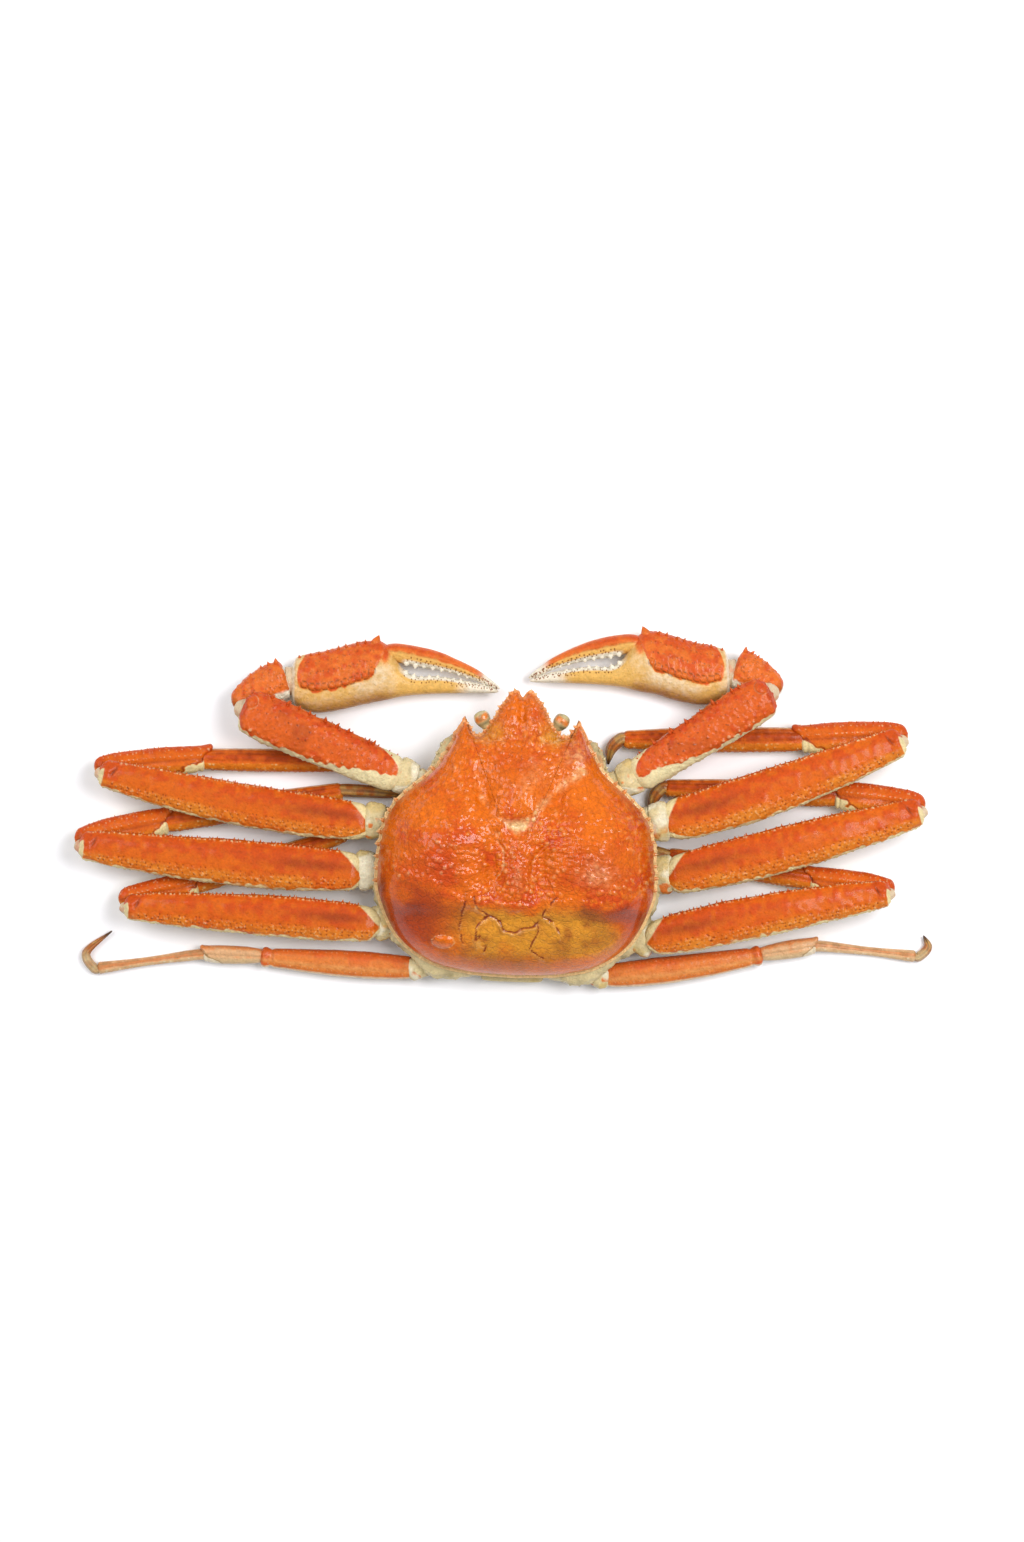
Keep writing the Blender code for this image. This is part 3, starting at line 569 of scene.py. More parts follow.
SWELLINGS = [
    (0.0, 38.0, 13.0, 15.0, 4.0), (0.0, 0.0, 5.5, 13.0, 2.8), (30.0, 8.0, 16.0, 17.0, 4.6),
    (-30.0, 8.0, 16.0, 17.0, 4.6), (0.0, 19.5, 5.0, 4.0, -2.6), (15.0, 33.0, 4.6, 10.0, -3.6),
    (-15.0, 33.0, 4.6, 10.0, -3.6), (10.5, 2.0, 3.4, 12.0, -2.4), (-10.5, 2.0, 3.4, 12.0, -2.4),
    (0.0, 68.0, 1.8, 12.0, -1.8), (29.0, 48.0, 5.0, 7.0, 2.4), (-29.0, 48.0, 5.0, 7.0, 2.4),
]


def rim_height(y):
    """Height of the margin's plane at y, in the body's own axes."""
    return RIM_LEVEL + RIM_SLOPE * y


def closed_outline(*stretches):
    """Mirrors the right half of an outline, given as stretches of (points, count), to a closed loop."""
    runs = [curve_through(points, count) for points, count in stretches]
    right = np.vstack([runs[0]] + [run[1:] for run in runs[1:]])
    return np.vstack([right, right[1:-1][::-1] * (-1, 1)])


def to_outline(plan, outline):
    """Distance of plan points to the nearest side of the loop, ring by ring to spare memory."""
    start, run = outline, np.roll(outline, -1, axis=0) - outline
    square = (run * run).sum(1)
    away = np.empty(plan.shape[:2])
    for i, ring in enumerate(plan):
        ahead = ring[:, None] - start[None]
        share = np.clip((ahead * run).sum(2) / square, 0, 1)
        away[i] = np.linalg.norm(ahead - run * share[..., None], axis=2).min(1)
    return away


def dome_height(plan, away):
    """Margin plane + lift * sqrt(1 - (1 - d / R)^2), with d the distance behind a flat rim.

    The lift holds the swellings and the step down behind the heart.
    """
    y = plan[..., 1]
    inward = np.clip(away - RIM_WIDTH, 0, None) / (SIDE_ROLL + (FRONT_ROLL - SIDE_ROLL) * ease(22, 62, y))
    roll = np.sqrt(1 - (1 - np.clip(inward, 0, 1)) ** 2)
    lift = 1.0 + (SHELL_LIFT - 1.0) / (1 + np.clip((y - 8.0) / 40.0, 0, None) ** 3)
    for *place, tall in SWELLINGS:
        lift = lift + tall * oval(plan, *place)
    lift = lift - 4.0 * ease(0, 1, (-13.0 - y) / 9.0)
    return rim_height(y) + lift * roll


shell_loop = closed_outline((FRONTAL_EDGE, 131), (SIDE_MARGIN, 190))
margin_grain = pebbles(np.column_stack([shell_loop, np.full(len(shell_loop), 1.5)]), 3.0, 60)
loop_run = np.roll(shell_loop, -1, 0) - np.roll(shell_loop, 1, 0)
loop_out = unit(np.column_stack([-loop_run[:, 1], loop_run[:, 0]]))
loop_out *= np.sign(((shell_loop - (0.0, 5.0)) * loop_out).sum())
margin_reach = ease(-12, 8, shell_loop[:, 1]) * (1.2 - 0.5 * ease(56, 64, shell_loop[:, 1]))
shell_loop = shell_loop + loop_out * ((margin_grain - 0.35) * margin_reach)[:, None]
inner = np.linspace(0, 0.76, 88)[1:]
outer = 1 - 0.24 * (1 - np.linspace(0, 1, 56)[1:]) ** 2
shares = np.concatenate([inner, outer])
shell_centre = np.array([0.0, 5.0])
shell_plan = shell_centre + (shell_loop - shell_centre) * shares[:, None, None]
shell_away = to_outline(shell_plan, shell_loop)
shell_away[-1] = 0.0
shell_tall = dome_height(shell_plan, shell_away)
print("back shell points:", shell_plan.shape[:2], "highest:", round(float(shell_tall.max()), 1), "mm")

# %% [markdown]
# ### Granules, furrows and cracks
#
# The real shell is strewn with round granules, thick over the gill chambers and the stomach and
# absent behind. Furrows part the regions, a row of knobs crosses the back, and the thin rear has
# fine cracks. All are added to the height before the dome is closed below.

# %% Relief of the back shell
chance = np.random.default_rng(4)
CRACKS = [
    [(-17, -11), (-15.4, -15), (-10.5, -20.5), (-5.4, -23.6), (0.6, -25.4), (5.6, -24), (10, -21.5)],
    [(17, -9.5), (13.2, -15), (10.6, -20.5), (9.6, -26), (6.6, -31.4), (11.6, -36)],
    [(-15.5, -28), (-12, -31), (-12.4, -33.4)], [(-20, -14), (-22.5, -19), (-24, -25), (-21, -30)],
    [(-12, -20), (-17, -25), (-16, -31)], [(12, -19), (18, -22), (20, -27)],
]
FURROWS = [
    ([(0.0, 20.0), (5.9, 23.7), (12.3, 33.3), (20.9, 40.8), (26.2, 45.1)], 2.8, 0.62),
    ([(0.0, 20.0), (-5.8, 21.5), (-12.2, 28.0), (-16.4, 35.4), (-20.0, 44.0)], 2.0, 0.36),
    ([(-10.1, 16.2), (-6.0, 9.8), (-6.6, 2.0), (-8.2, -4.0)], 0.8, 0.6),
    ([(12.3, 14.1), (6.4, 5.6), (8.4, -5.0)], 1.1, 0.4),
    ([(-16.0, 59.0), (-11.0, 57.0), (-6.0, 58.0)], 0.9, 0.4),
    ([(16.0, 59.0), (11.0, 57.0), (6.0, 61.0)], 0.9, 0.45),
]
LEDGE = [
    (-58, -3), (-49, -2), (-38, -6), (-27, -11), (-17, -13), (-8, -15.5), (0, -16),
    (9, -15), (17, -12.5), (27, -11.5), (38, -12), (48, -12), (57, -10),
]
LEDGE_KNOBS = 46


def ledge_at(x):
    """Where the ledge that parts the granular front from the smooth rear lies at x."""
    return np.interp(x, *np.array(LEDGE).T)


def flat_points(plan, level=0.0):
    """Plan points at one level; half a cell up, packed grains are cut through their middle."""
    return np.concatenate([plan, np.full_like(plan[..., :1], level)], -1)


def plan_cloud(plan, size, seed):
    """The cloud at plan points, moved to lie between -0.5 and 0.5."""
    return cloud(flat_points(plan), size, seed) - 0.5


def wandered(plan, reach, size, seed):
    """Plan points shifted by a cloudy field, so that the lines and borders drawn on them wander."""
    return plan + reach * np.stack([plan_cloud(plan, size, seed + k) for k in (0, 1)], -1)


ahead = shell_plan[..., 1] - ledge_at(shell_plan[..., 0]) + 7.0 * plan_cloud(shell_plan, 7.0, 51)
granular = ease(-3.0, 3.0, ahead) * ease(0.3, 2.5, shell_away)
stones = pebbles(flat_points(shell_plan, 1.5), 3.0, 11) * 0.9
grit = pebbles(flat_points(shell_plan, 0.9), 1.8, 12) * 0.5
crowd = 0.5 + 0.5 * ease(-0.12, 0.12, plan_cloud(shell_plan, 9.0, 14))
CALM_PLACES = [
    (-13.0, 35.0, 8.0, 11.0), (0.0, 71.0, 12.0, 8.0), (15.0, 36.0, 5.0, 9.0), (-37.0, 24.0, 9.0, 8.0),
    (33.0, 37.0, 8.0, 9.0), (-30.0, 46.0, 6.0, 9.0), (3.0, 30.0, 8.0, 6.0),
]
calm = np.maximum.reduce([oval(shell_plan, *place) for place in CALM_PLACES])
ledge_x = np.linspace(-54, 54, LEDGE_KNOBS) + chance.normal(0, 0.5, LEDGE_KNOBS)
ledge_knobs = np.column_stack([ledge_x, ledge_at(ledge_x) + chance.normal(0.6, 0.5, LEDGE_KNOBS)])
edge_knobs = shell_centre + (shell_loop[60:580:5] - shell_centre) * 0.978
front_loop = np.vstack([shell_loop[2:126:7], shell_loop[-124:-2:7]])
front_knobs = shell_centre + (front_loop - shell_centre) * 0.95
big_knobs = np.array([
    (53.5, -6.2), (53.2, 3), (43, -4.4), (48, 12), (-52.5, 5.5), (-53, 13), (-46, -2), (-50, -3),
    (-41, 31), (-28, 44), (28, 44), (-26, 10.5), (-21, 16), (-13, 3), (13, 5), (-2.5, 8.6),
    (-4, 51), (4.5, 49), (-9.5, 57), (9.5, 57), (-6.5, 65), (6.8, 65.5), (-16, 55), (16, 55),
    (0.5, 45), (-3, 38), (4, 40), (-34, 12), (-38, 4), (35, 14), (40, 6), (26, 2),
])
REAR_CORNER_KNOBS = 8
other_size = chance.uniform(1.3, 2.2, len(big_knobs) - REAR_CORNER_KNOBS)
big_size = np.concatenate([np.full(REAR_CORNER_KNOBS, 1.7), other_size])
knob_groups = [
    (ledge_knobs, chance.uniform(0.9, 1.7, LEDGE_KNOBS), chance.uniform(0.2, 0.5, LEDGE_KNOBS)),
    (edge_knobs, 0.95, 0.4), (front_knobs, 1.5, 0.6), (big_knobs, big_size, 0.25 + 0.35 * big_size),
]
knob_field = granular * crowd * (1 - 0.5 * calm) * np.maximum(stones, grit)
knob_field = np.maximum.reduce([knob_field] + [bumps(shell_plan, *group) for group in knob_groups])
scar = np.clip(1 - (((shell_plan - (-30.3, -30.9)) / (5.2, 3.0)) ** 2).sum(-1), 0, None)
crack_plan = wandered(wandered(shell_plan, 3.4, 6.0, 40), 1.5, 1.9, 42)
crack_field = np.maximum.reduce([line_mask(crack_plan, path, 0.4) for path in CRACKS])
crack_field = crack_field * ease(-0.35, -0.1, plan_cloud(shell_plan, 3.0, 44))
crack_lip = np.maximum.reduce([line_mask(crack_plan - (0.0, -1.2), path, 0.8) for path in CRACKS])
furrow_plan = wandered(wandered(shell_plan, 4.0, 7.0, 46), 2.0, 2.5, 48)
furrow_lines = [line_mask(furrow_plan, path, width) for path, width, _ in FURROWS]
furrow_field = np.maximum.reduce(furrow_lines)
furrow_pale = np.maximum.reduce([pale * line for line, (_, _, pale) in zip(furrow_lines, FURROWS)])
waves = plan_cloud(shell_plan, 8.0, 3) + 0.5 * plan_cloud(shell_plan, 3.2, 8)
shell_tall = shell_tall + ease(0.0, 2.0, shell_away) * (
    knob_field + 1.3 * waves * (0.5 + 0.5 * granular) + 1.9 * scar - 0.7 * crack_field + 0.45 * crack_lip
    - 0.8 * furrow_field + 0.35 * hill(ahead, 0.3, 1.8)
)
print("relief from", round(float(knob_field.min()), 2), "to", round(float(knob_field.max()), 2), "mm")

# %% Close the back shell below and paint it
under_shares = np.array([1.006, 1.007, 1.004, 0.99, 0.94, 0.8, 0.5, 0.2])
under_drop = np.array([0.25, 0.55, 0.85, 1.0, 1.0, 1.0, 1.0, 1.0])
under_plan = shell_centre + (shell_loop - shell_centre) * under_shares[:, None, None]
under_tall = rim_height(under_plan[..., 1]) - under_drop[:, None]
plan_all = np.concatenate([shell_plan, under_plan])
tall_all = np.concatenate([shell_tall, under_tall])
poles = [(0, 5.0, shell_tall[0].mean()), (0, 5.0, rim_height(5.0) - 1.0)]
ring_share = np.linspace(0, 1, len(plan_all))
carapace = Skin(np.concatenate([plan_all, tall_all[..., None]], -1), poles, ring_share)
x, y = plan_all[..., 0], plan_all[..., 1]
drift, patchy = plan_cloud(plan_all, 9.0, 21), plan_cloud(plan_all, 4.0, 23)


def patches(*ovals):
    """Soft ovals of colour, each as amount, x, y, across, along; their borders drift a little."""
    total = sum(amount * oval(plan_all, *place) for amount, *place in ovals)
    return total * (1 + 0.9 * drift + 0.5 * patchy)


def onto_all(field):
    """A field of the upper side with zeros for the rings below."""
    return np.concatenate([field, np.zeros(under_plan.shape[:2])])


away_all, knobs_all, cracks_all = onto_all(shell_away), onto_all(knob_field), onto_all(crack_field)
scar_all, grain_all = onto_all(scar), onto_all(granular)
rear_all = 1 - ease(-3.0, 3.0, y - ledge_at(x) + 9.0 * drift + 3.0 * patchy)
ground = grain_all * (1 - ease(0.08, 0.35, knobs_all)) * (1 - onto_all(calm))
rear_red = patches(
    (0.9, 54, -24, 10, 16), (1.1, -44, -22, 20, 17), (0.7, -16, -36, 8, 6), (0.8, 40, -15, 18, 7),
)
carapace.paint(red=patches((0.9, -34, 2, 17, 13), (0.7, 32, 4, 20, 13), (0.8, -2, 46, 10, 9)))
carapace.paint(red=patches((0.6, 0, 0, 6, 13), (0.5, 6, 68, 4, 6), (0.4, -6, 66, 4, 6)))
carapace.paint(red=ground * (0.5 + 1.2 * drift) + 0.4 * hill(y, -14, 4) * grain_all + rear_all * rear_red)
carapace.paint(red=0.5 * rear_all * ease(0.05, 0.35, plan_cloud(plan_all, 6.0, 27)))
brick_left = 0.42 * ease(0.2, 0.8, patches((1.0, -40, -20, 25, 16)))
brick_right = 0.6 * ease(0.2, 0.8, patches((1.0, 43, -15, 20, 7)))
carapace.paint(brown=(brick_left + brick_right + patches((0.2, -44, -16, 10, 6))) * rear_all)
carapace.paint(brown=patches((0.3, 53, -22, 6, 12), (0.5, 0, -39, 20, 5)) * rear_all + cracks_all)
side_shade = 0.3 * hill(away_all, 3.0, 3.5) * ease(50, 20, y) * ease(-34, -20, y) * (1 + drift)
carapace.paint(brown=0.42 * rear_all * (ease(-0.12, 0.4, patchy) + drift) + side_shade)
carapace.paint(amber=rear_all * patches((1.2, -2, -26, 25, 15), (1.0, 30, -26, 15, 10)))
carapace.paint(amber=patches((0.6, -14, 60, 8, 6), (0.6, 14, 59, 8, 6)))
carapace.paint(pale=(1 - ease(0.9, 1.3, away_all)) * (0.45 + 0.55 * ease(64, 34, y)))
# Pale lines along the furrows and a pale spot at the foot of the V: partly the shell's own cream and partly
# painted highlight, which is stronger on the right furrow.
groove_tint_and_highlights = 1.1 * hill(x, -0.4, 4.2) * hill(y, 20.4, 2.6) + onto_all(furrow_pale)
carapace.paint(pale=groove_tint_and_highlights * (0.6 + 0.6 * ease(0.1, 0.6, knobs_all) + 0.5 * patchy))
knob_caps = (0.28 + 0.4 * drift) * ease(0.15, 0.65, knobs_all) * (1 - 0.4 * ease(52, 62, y))
carapace.paint(pale=knob_caps + 0.3 * onto_all(crack_lip) * (1 - cracks_all) * rear_all)
# Painted highlights: pale patches where the broad wet highlights fall, on the right gill chamber, the heart,
# the stomach and the front.
painted_highlights_and_pale_rims = patches(
    (0.3, 35, 2, 12, 10), (0.24, 1, -3, 4, 9), (0.28, 4, 40, 13, 11), (0.16, 0, 62, 13, 10),
    (0.26, 24, 50, 8, 12),
)
carapace.paint(pale=painted_highlights_and_pale_rims + 0.5 * hill(scar_all, 0.1, 0.12) * (scar_all > 0))
carapace.tint *= (1 - 0.9 * ease(0.2, 0.5, scar_all))[..., None]
margin_at = np.concatenate([np.arange(16, 124, 8), np.arange(142, 232, 6)])
margin_at = np.concatenate([margin_at, len(shell_loop) - margin_at])
margin_out = np.column_stack([loop_out[margin_at], np.full(len(margin_at), 0.25)])
margin_base = np.column_stack([shell_loop[margin_at], rim_height(shell_loop[margin_at, 1]) - 0.2])
margin_size = chance.uniform(1.6, 2.5, len(margin_at))
margin_thorns = cones(
    margin_base - 0.9 * margin_out, margin_out, margin_size, 1.25, sides=8, tint_root=(0.2, 0, 0, 0.3),
    tint_tip=(0.8, 0, 0, 0),
)
piece("carapace_skin", "shell", [carapace.mesh(), margin_thorns], node="carapace", turned=True)
print("back shell triangles:", made_pieces[-1][1])

# %% [markdown]
# ## The trunk under the shell
#
# Below the shell sits the pale trunk: cheeks beside the mouth, the lobes that the legs grow from,
# and the flat breastplate with its sutures. It is a stack of rings that narrows towards the table.

# %% Trunk
TRUNK_OUTLINE = [
    (0.0, 57.5), (12.0, 57.0), (22.0, 58.0), (31.0, 58.2), (35.9, 52.0), (39.0, 44.0),
    (47.0, 34.6), (54.0, 27.0), (58.6, 17.5), (61.2, 4.0), (62.6, -8.0), (59.4, -20.0),
    (53.6, -32.0), (45.0, -38.8), (37.0, -45.4), (28.0, -48.8), (19.0, -47.0), (0.0, -46.0),
]
TRUNK_STEPS = [
    (0.3, 1.0), (0.8, 1.0), (0.95, 0.98), (1.0, 0.72), (0.95, 0.45), (0.8, 0.25), (0.62, 0.1),
    (0.5, 0.06), (0.2, 0.05),
]
TRUNK_RINGS = 96
HIP_PLACES = [
    (53, 20.5), (55, -1.5), (47.5, -27), (30, -43), (-52, 21.5), (-55, 1.0), (-49.5, -21), (-33, -41),
    (40, 36.5), (-40, 38),
]
CHEEK_THORNS = [(35.5, 55.5), (37.5, 51.5), (38.8, 47.5), (41.0, 43.0)]
trunk_loop = closed_outline((TRUNK_OUTLINE, 201))
trunk_steps = curve_through(TRUNK_STEPS, TRUNK_RINGS)
trunk_centre = np.array([0.0, 2.0])
plan = trunk_centre + (trunk_loop - trunk_centre) * trunk_steps[:, 0][:, None, None]
top = rim_height(plan[..., 1]) - 1.35
tall = 0.7 + (top - 0.7) * trunk_steps[:, 1][:, None]
trunk = Skin(
    np.concatenate([plan, tall[..., None]], -1), [(0, 2.0, rim_height(2.0) - 1.35), (0, 2.0, 1.2)],
    np.linspace(0, 1, TRUNK_RINGS),
)
lobes = [(hx, hy, 11.0) for hx, hy in HIP_PLACES]
lobe_field = bumps(trunk.points, lobes, 11.0, 1.6)
angle = np.arctan2(trunk.points[..., 1] - 4, trunk.points[..., 0])
flank = ease(0.55, 0.75, np.broadcast_to(trunk_steps[:, 0][:, None], angle.shape))
below = ease(0.45, 0.6, trunk.share)
pleats = 1 - np.abs(np.sin(angle * 9)) ** 0.35
sutures = below * pleats * ease(14, 24, np.hypot(trunk.points[..., 0], trunk.points[..., 1] - 4))
coarse = 0.9 * trunk.cloudy(2.2, 5) + 0.7 * pebbles(trunk.points, 2.6, 61) - 0.9 * pleats
trunk.push((lobe_field + coarse) * flank - 0.8 * sutures)
trunk.points[..., 2] = np.clip(trunk.points[..., 2], 0.3, rim_height(trunk.points[..., 1]) - 1.05)
trunk.paint(brown=(0.55 * pleats + 0.4 * ease(0.55, 0.75, cloud(trunk.points, 5.0, 9))) * flank)
trunk.paint(red=0.5 * ease(0.62, 0.8, cloud(trunk.points, 4.0, 12)) * ease(10, 30, trunk.points[..., 1]))
cheek_xy = [(side * cx, cy) for side in (-1, 1) for cx, cy in CHEEK_THORNS]
cheek_base = np.array([(cx, cy, rim_height(cy) - 4.0) for cx, cy in cheek_xy])
cheek_out = np.array([(cx, cy - 10, 0.0) for cx, cy in cheek_xy])
piece(
    "thorax_skin", "pale_shell",
    [trunk.mesh(), cones(cheek_base - 0.04 * cheek_out, cheek_out, 1.4, 0.7, tint_root=(0, 0, 0.2, 0.3))],
    node="thorax", turned=True,
)
print("trunk triangles:", made_pieces[-1][1])

# %% Tail flap, mouth plates and eyes
flap = sweep(
    [(0, -47.6, 9.5, 13, 1.6), (0, -45.8, 5, 14, 1.7), (0, -40, 2, 14.5, 1.9), (0, -28, 1.5, 13, 2),
     (0, -10, 1.5, 10, 2), (0, 8, 1.5, 8, 2), (0, 20, 1.5, 5, 1.8)],
    160, 72, squareness=4.0, rounding=(1.5, 3.0),
)
seams = sum(hill(flap.share, s, 0.008) for s in (0.1, 0.22, 0.36, 0.5, 0.64, 0.78))
flap.push(-0.35 * seams + 0.12 * flap.cloudy(1.6, 2))
flap.points[..., 2] = np.maximum(flap.points[..., 2], 0.0)
flap.paint(brown=0.45 * seams)
flap.paint(amber=0.5 * ease(0.5, 0.8, cloud(flap.points, 6.0, 15)))
piece("abdomen_skin", "pale_shell", [flap.mesh()], node="abdomen", turned=True)

EYE_ROWS = [
    (9.6, 54.5, 21.6, 1.9), (12.4, 58.6, 22.6, 2.0), (14.6, 61.6, 23.6, 1.9), (15.6, 63.2, 24.2, 2.6),
    (16.6, 64.8, 24.8, 3.4), (17.5, 66.2, 25.2, 3.5), (18.4, 67.5, 25.5, 2.9), (18.9, 68.4, 25.8, 1.6),
]
for word, side in (("left", -1), ("right", 1)):
    plate = sweep(
        [(side * 5.6, 34.0, 2.6, 3.6, 1.9), (side * 5.6, 42.0, 3.4, 4.4, 1.9),
         (side * 5.4, 50.0, 7.4, 4.4, 1.9), (side * 5.2, 56.0, 14.0, 3.8, 1.9)],
        70, 40, squareness=3.0, rounding=(1.6, 1.6),
    )
    plate.push(-0.4 * hill(plate.share, 0.62, 0.02) - 0.25 * hill(plate.across, 0.3, 0.12))
    plate.paint(red=0.5 * ease(0.6, 0.8, cloud(plate.points, 2.5, 6)))
    piece(f"mouthpart_{word}_skin", "pale_shell", [plate.mesh()], node=f"mouthpart_{word}", turned=True)
    stalk = sweep(
        [(side * sx, sy, sz, radius, radius) for sx, sy, sz, radius in EYE_ROWS],
        80, 48, squareness=2.0, rounding=(1.0, 1.0),
    )
    stains = ease(0.45, 0.75, cloud(stalk.points, 1.6, 30))
    stalk.paint(brown=0.6 * hill(stalk.share, 0.72, 0.05) + 0.5 * stains)
    stalk.paint(red=1.0 * ease(0.2, 0.7, stalk.rise) * hill(stalk.share, 0.86, 0.09))
    stalk.paint(pale=ease(0.55, 0.35, stalk.share))
    piece(f"eye_{word}_skin", "eye", [stalk.mesh()], node=f"eye_{word}", turned=True)
print("trunk pieces:", [name for name, _ in made_pieces])

# %% [markdown]
# ## The long legs
#
# Three pairs of legs lie folded: the long upper segment on top, the next ones running back under
# it. The same lengths and places as in the solids drive them. Each long segment has an orange
# upper face, a cream rear edge with rows of pits, a thorny front edge, and a red knob at the knee.

# %% Where the legs lie
MERUS_WIDTHS = [(0, 0.76), (0.12, 0.93), (0.3, 1.01), (0.5, 0.99), (0.7, 0.89), (0.87, 0.76), (1, 0.62)]
CARPUS_WIDTHS = [(0, 0.6), (0.15, 0.85), (0.4, 1.0), (0.75, 1.02), (1, 0.86)]
PROPODUS_WIDTHS = [(0, 0.85), (0.15, 1.0), (0.6, 1.0), (1, 0.72)]
MERUS_LEVEL, CARPUS_LEVEL, PROPODUS_LEVEL = 16.5, 7.2, 4.3
FOLDED_LEGS = {
    "right_leg_1": dict(
        coxa=(51.0, 20.5), hip=(62.8, 20.6), knee=(168.6, 57.2), bow=-2.8, girth=10.2,
        heel=(171.0, 59.4), wrist=(124.5, 57.2), ankle=(46.5, 57.4), tip=(40.4, 46.4), tip_level=2.0,
    ),
    "right_leg_2": dict(
        coxa=(54.0, -1.5), hip=(64.6, -2.6), knee=(177.0, 26.4), bow=-1.2, girth=9.8,
        heel=(178.6, 28.6), wrist=(139.5, 33.0), ankle=(64.8, 36.2), tip=(59.4, 23.4), tip_level=2.0,
    ),
    "right_leg_3": dict(
        coxa=(46.5, -27.0), hip=(56.0, -30.2), knee=(163.0, -9.3), bow=0.8, girth=9.1,
        heel=(165.2, -8.2), wrist=(128.7, -4.0), ankle=(66.0, 6.6), tip=(52.5, 11.5), tip_level=2.6,
    ),
    "left_leg_1": dict(
        coxa=(-50.0, 21.5), hip=(-61.8, 21.2), knee=(-181.4, 43.2), bow=-2.8, girth=9.3,
        heel=(-184.2, 45.4), wrist=(-136.0, 49.0), ankle=(-60.0, 47.6), tip=(-49.6, 37.6), tip_level=2.6,
    ),
    "left_leg_2": dict(
        coxa=(-54.0, 1.0), hip=(-65.6, -0.6), knee=(-190.2, 11.6), bow=-1.2, girth=9.9,
        heel=(-192.6, 13.4), wrist=(-152.5, 21.6), ankle=(-75.5, 35.0), tip=(-46.0, 32.2), tip_level=2.6,
    ),
    "left_leg_3": dict(
        coxa=(-48.5, -20.0), hip=(-58.6, -23.4), knee=(-170.6, -15.4), bow=0.5, girth=8.8,
        heel=(-173.4, -12.6), wrist=(-139.0, -6.0), ankle=(-74.0, 16.2), tip=(-58.5, 21.0), tip_level=2.6,
    ),
}


def segment_rows(start, end, levels, girth, height, widths, bow=0.0):
    """Rows between two plan points; bow moves the middle forward by bow * 4 * s * (1 - s)."""
    share, wide = np.array(widths, float).T
    start, end = np.array(start, float), np.array(end, float)
    plan = start + (end - start) * share[:, None]
    plan[:, 1] += bow * 4 * share * (1 - share)
    z = np.interp(share, np.linspace(0, 1, len(levels)), levels)
    return np.column_stack([plan, z, girth * wide, height * wide])


def scattered(rows, step, length, seed, jitter=0.25):
    """Places along a segment: for each (across, top, start, end) row one every step, with some jitter."""
    draw = np.random.default_rng(seed)
    places = []
    for across, top, start, end in rows:
        count = max(int(length * (end - start) / step), 2)
        share = np.linspace(start, end, count) + draw.normal(0, jitter * step / length, count)
        places += [(s, across + a, top) for s, a in zip(share, draw.normal(0, 0.012, count))]
    return np.array(places)


print("folded legs:", list(FOLDED_LEGS))

# %% Long upper segment
def dots(skin, places, radius, height):
    """Round bumps at (share, across, top) places of a skin."""
    return bumps(skin.points, skin.at(*places.T)[0], radius, height)


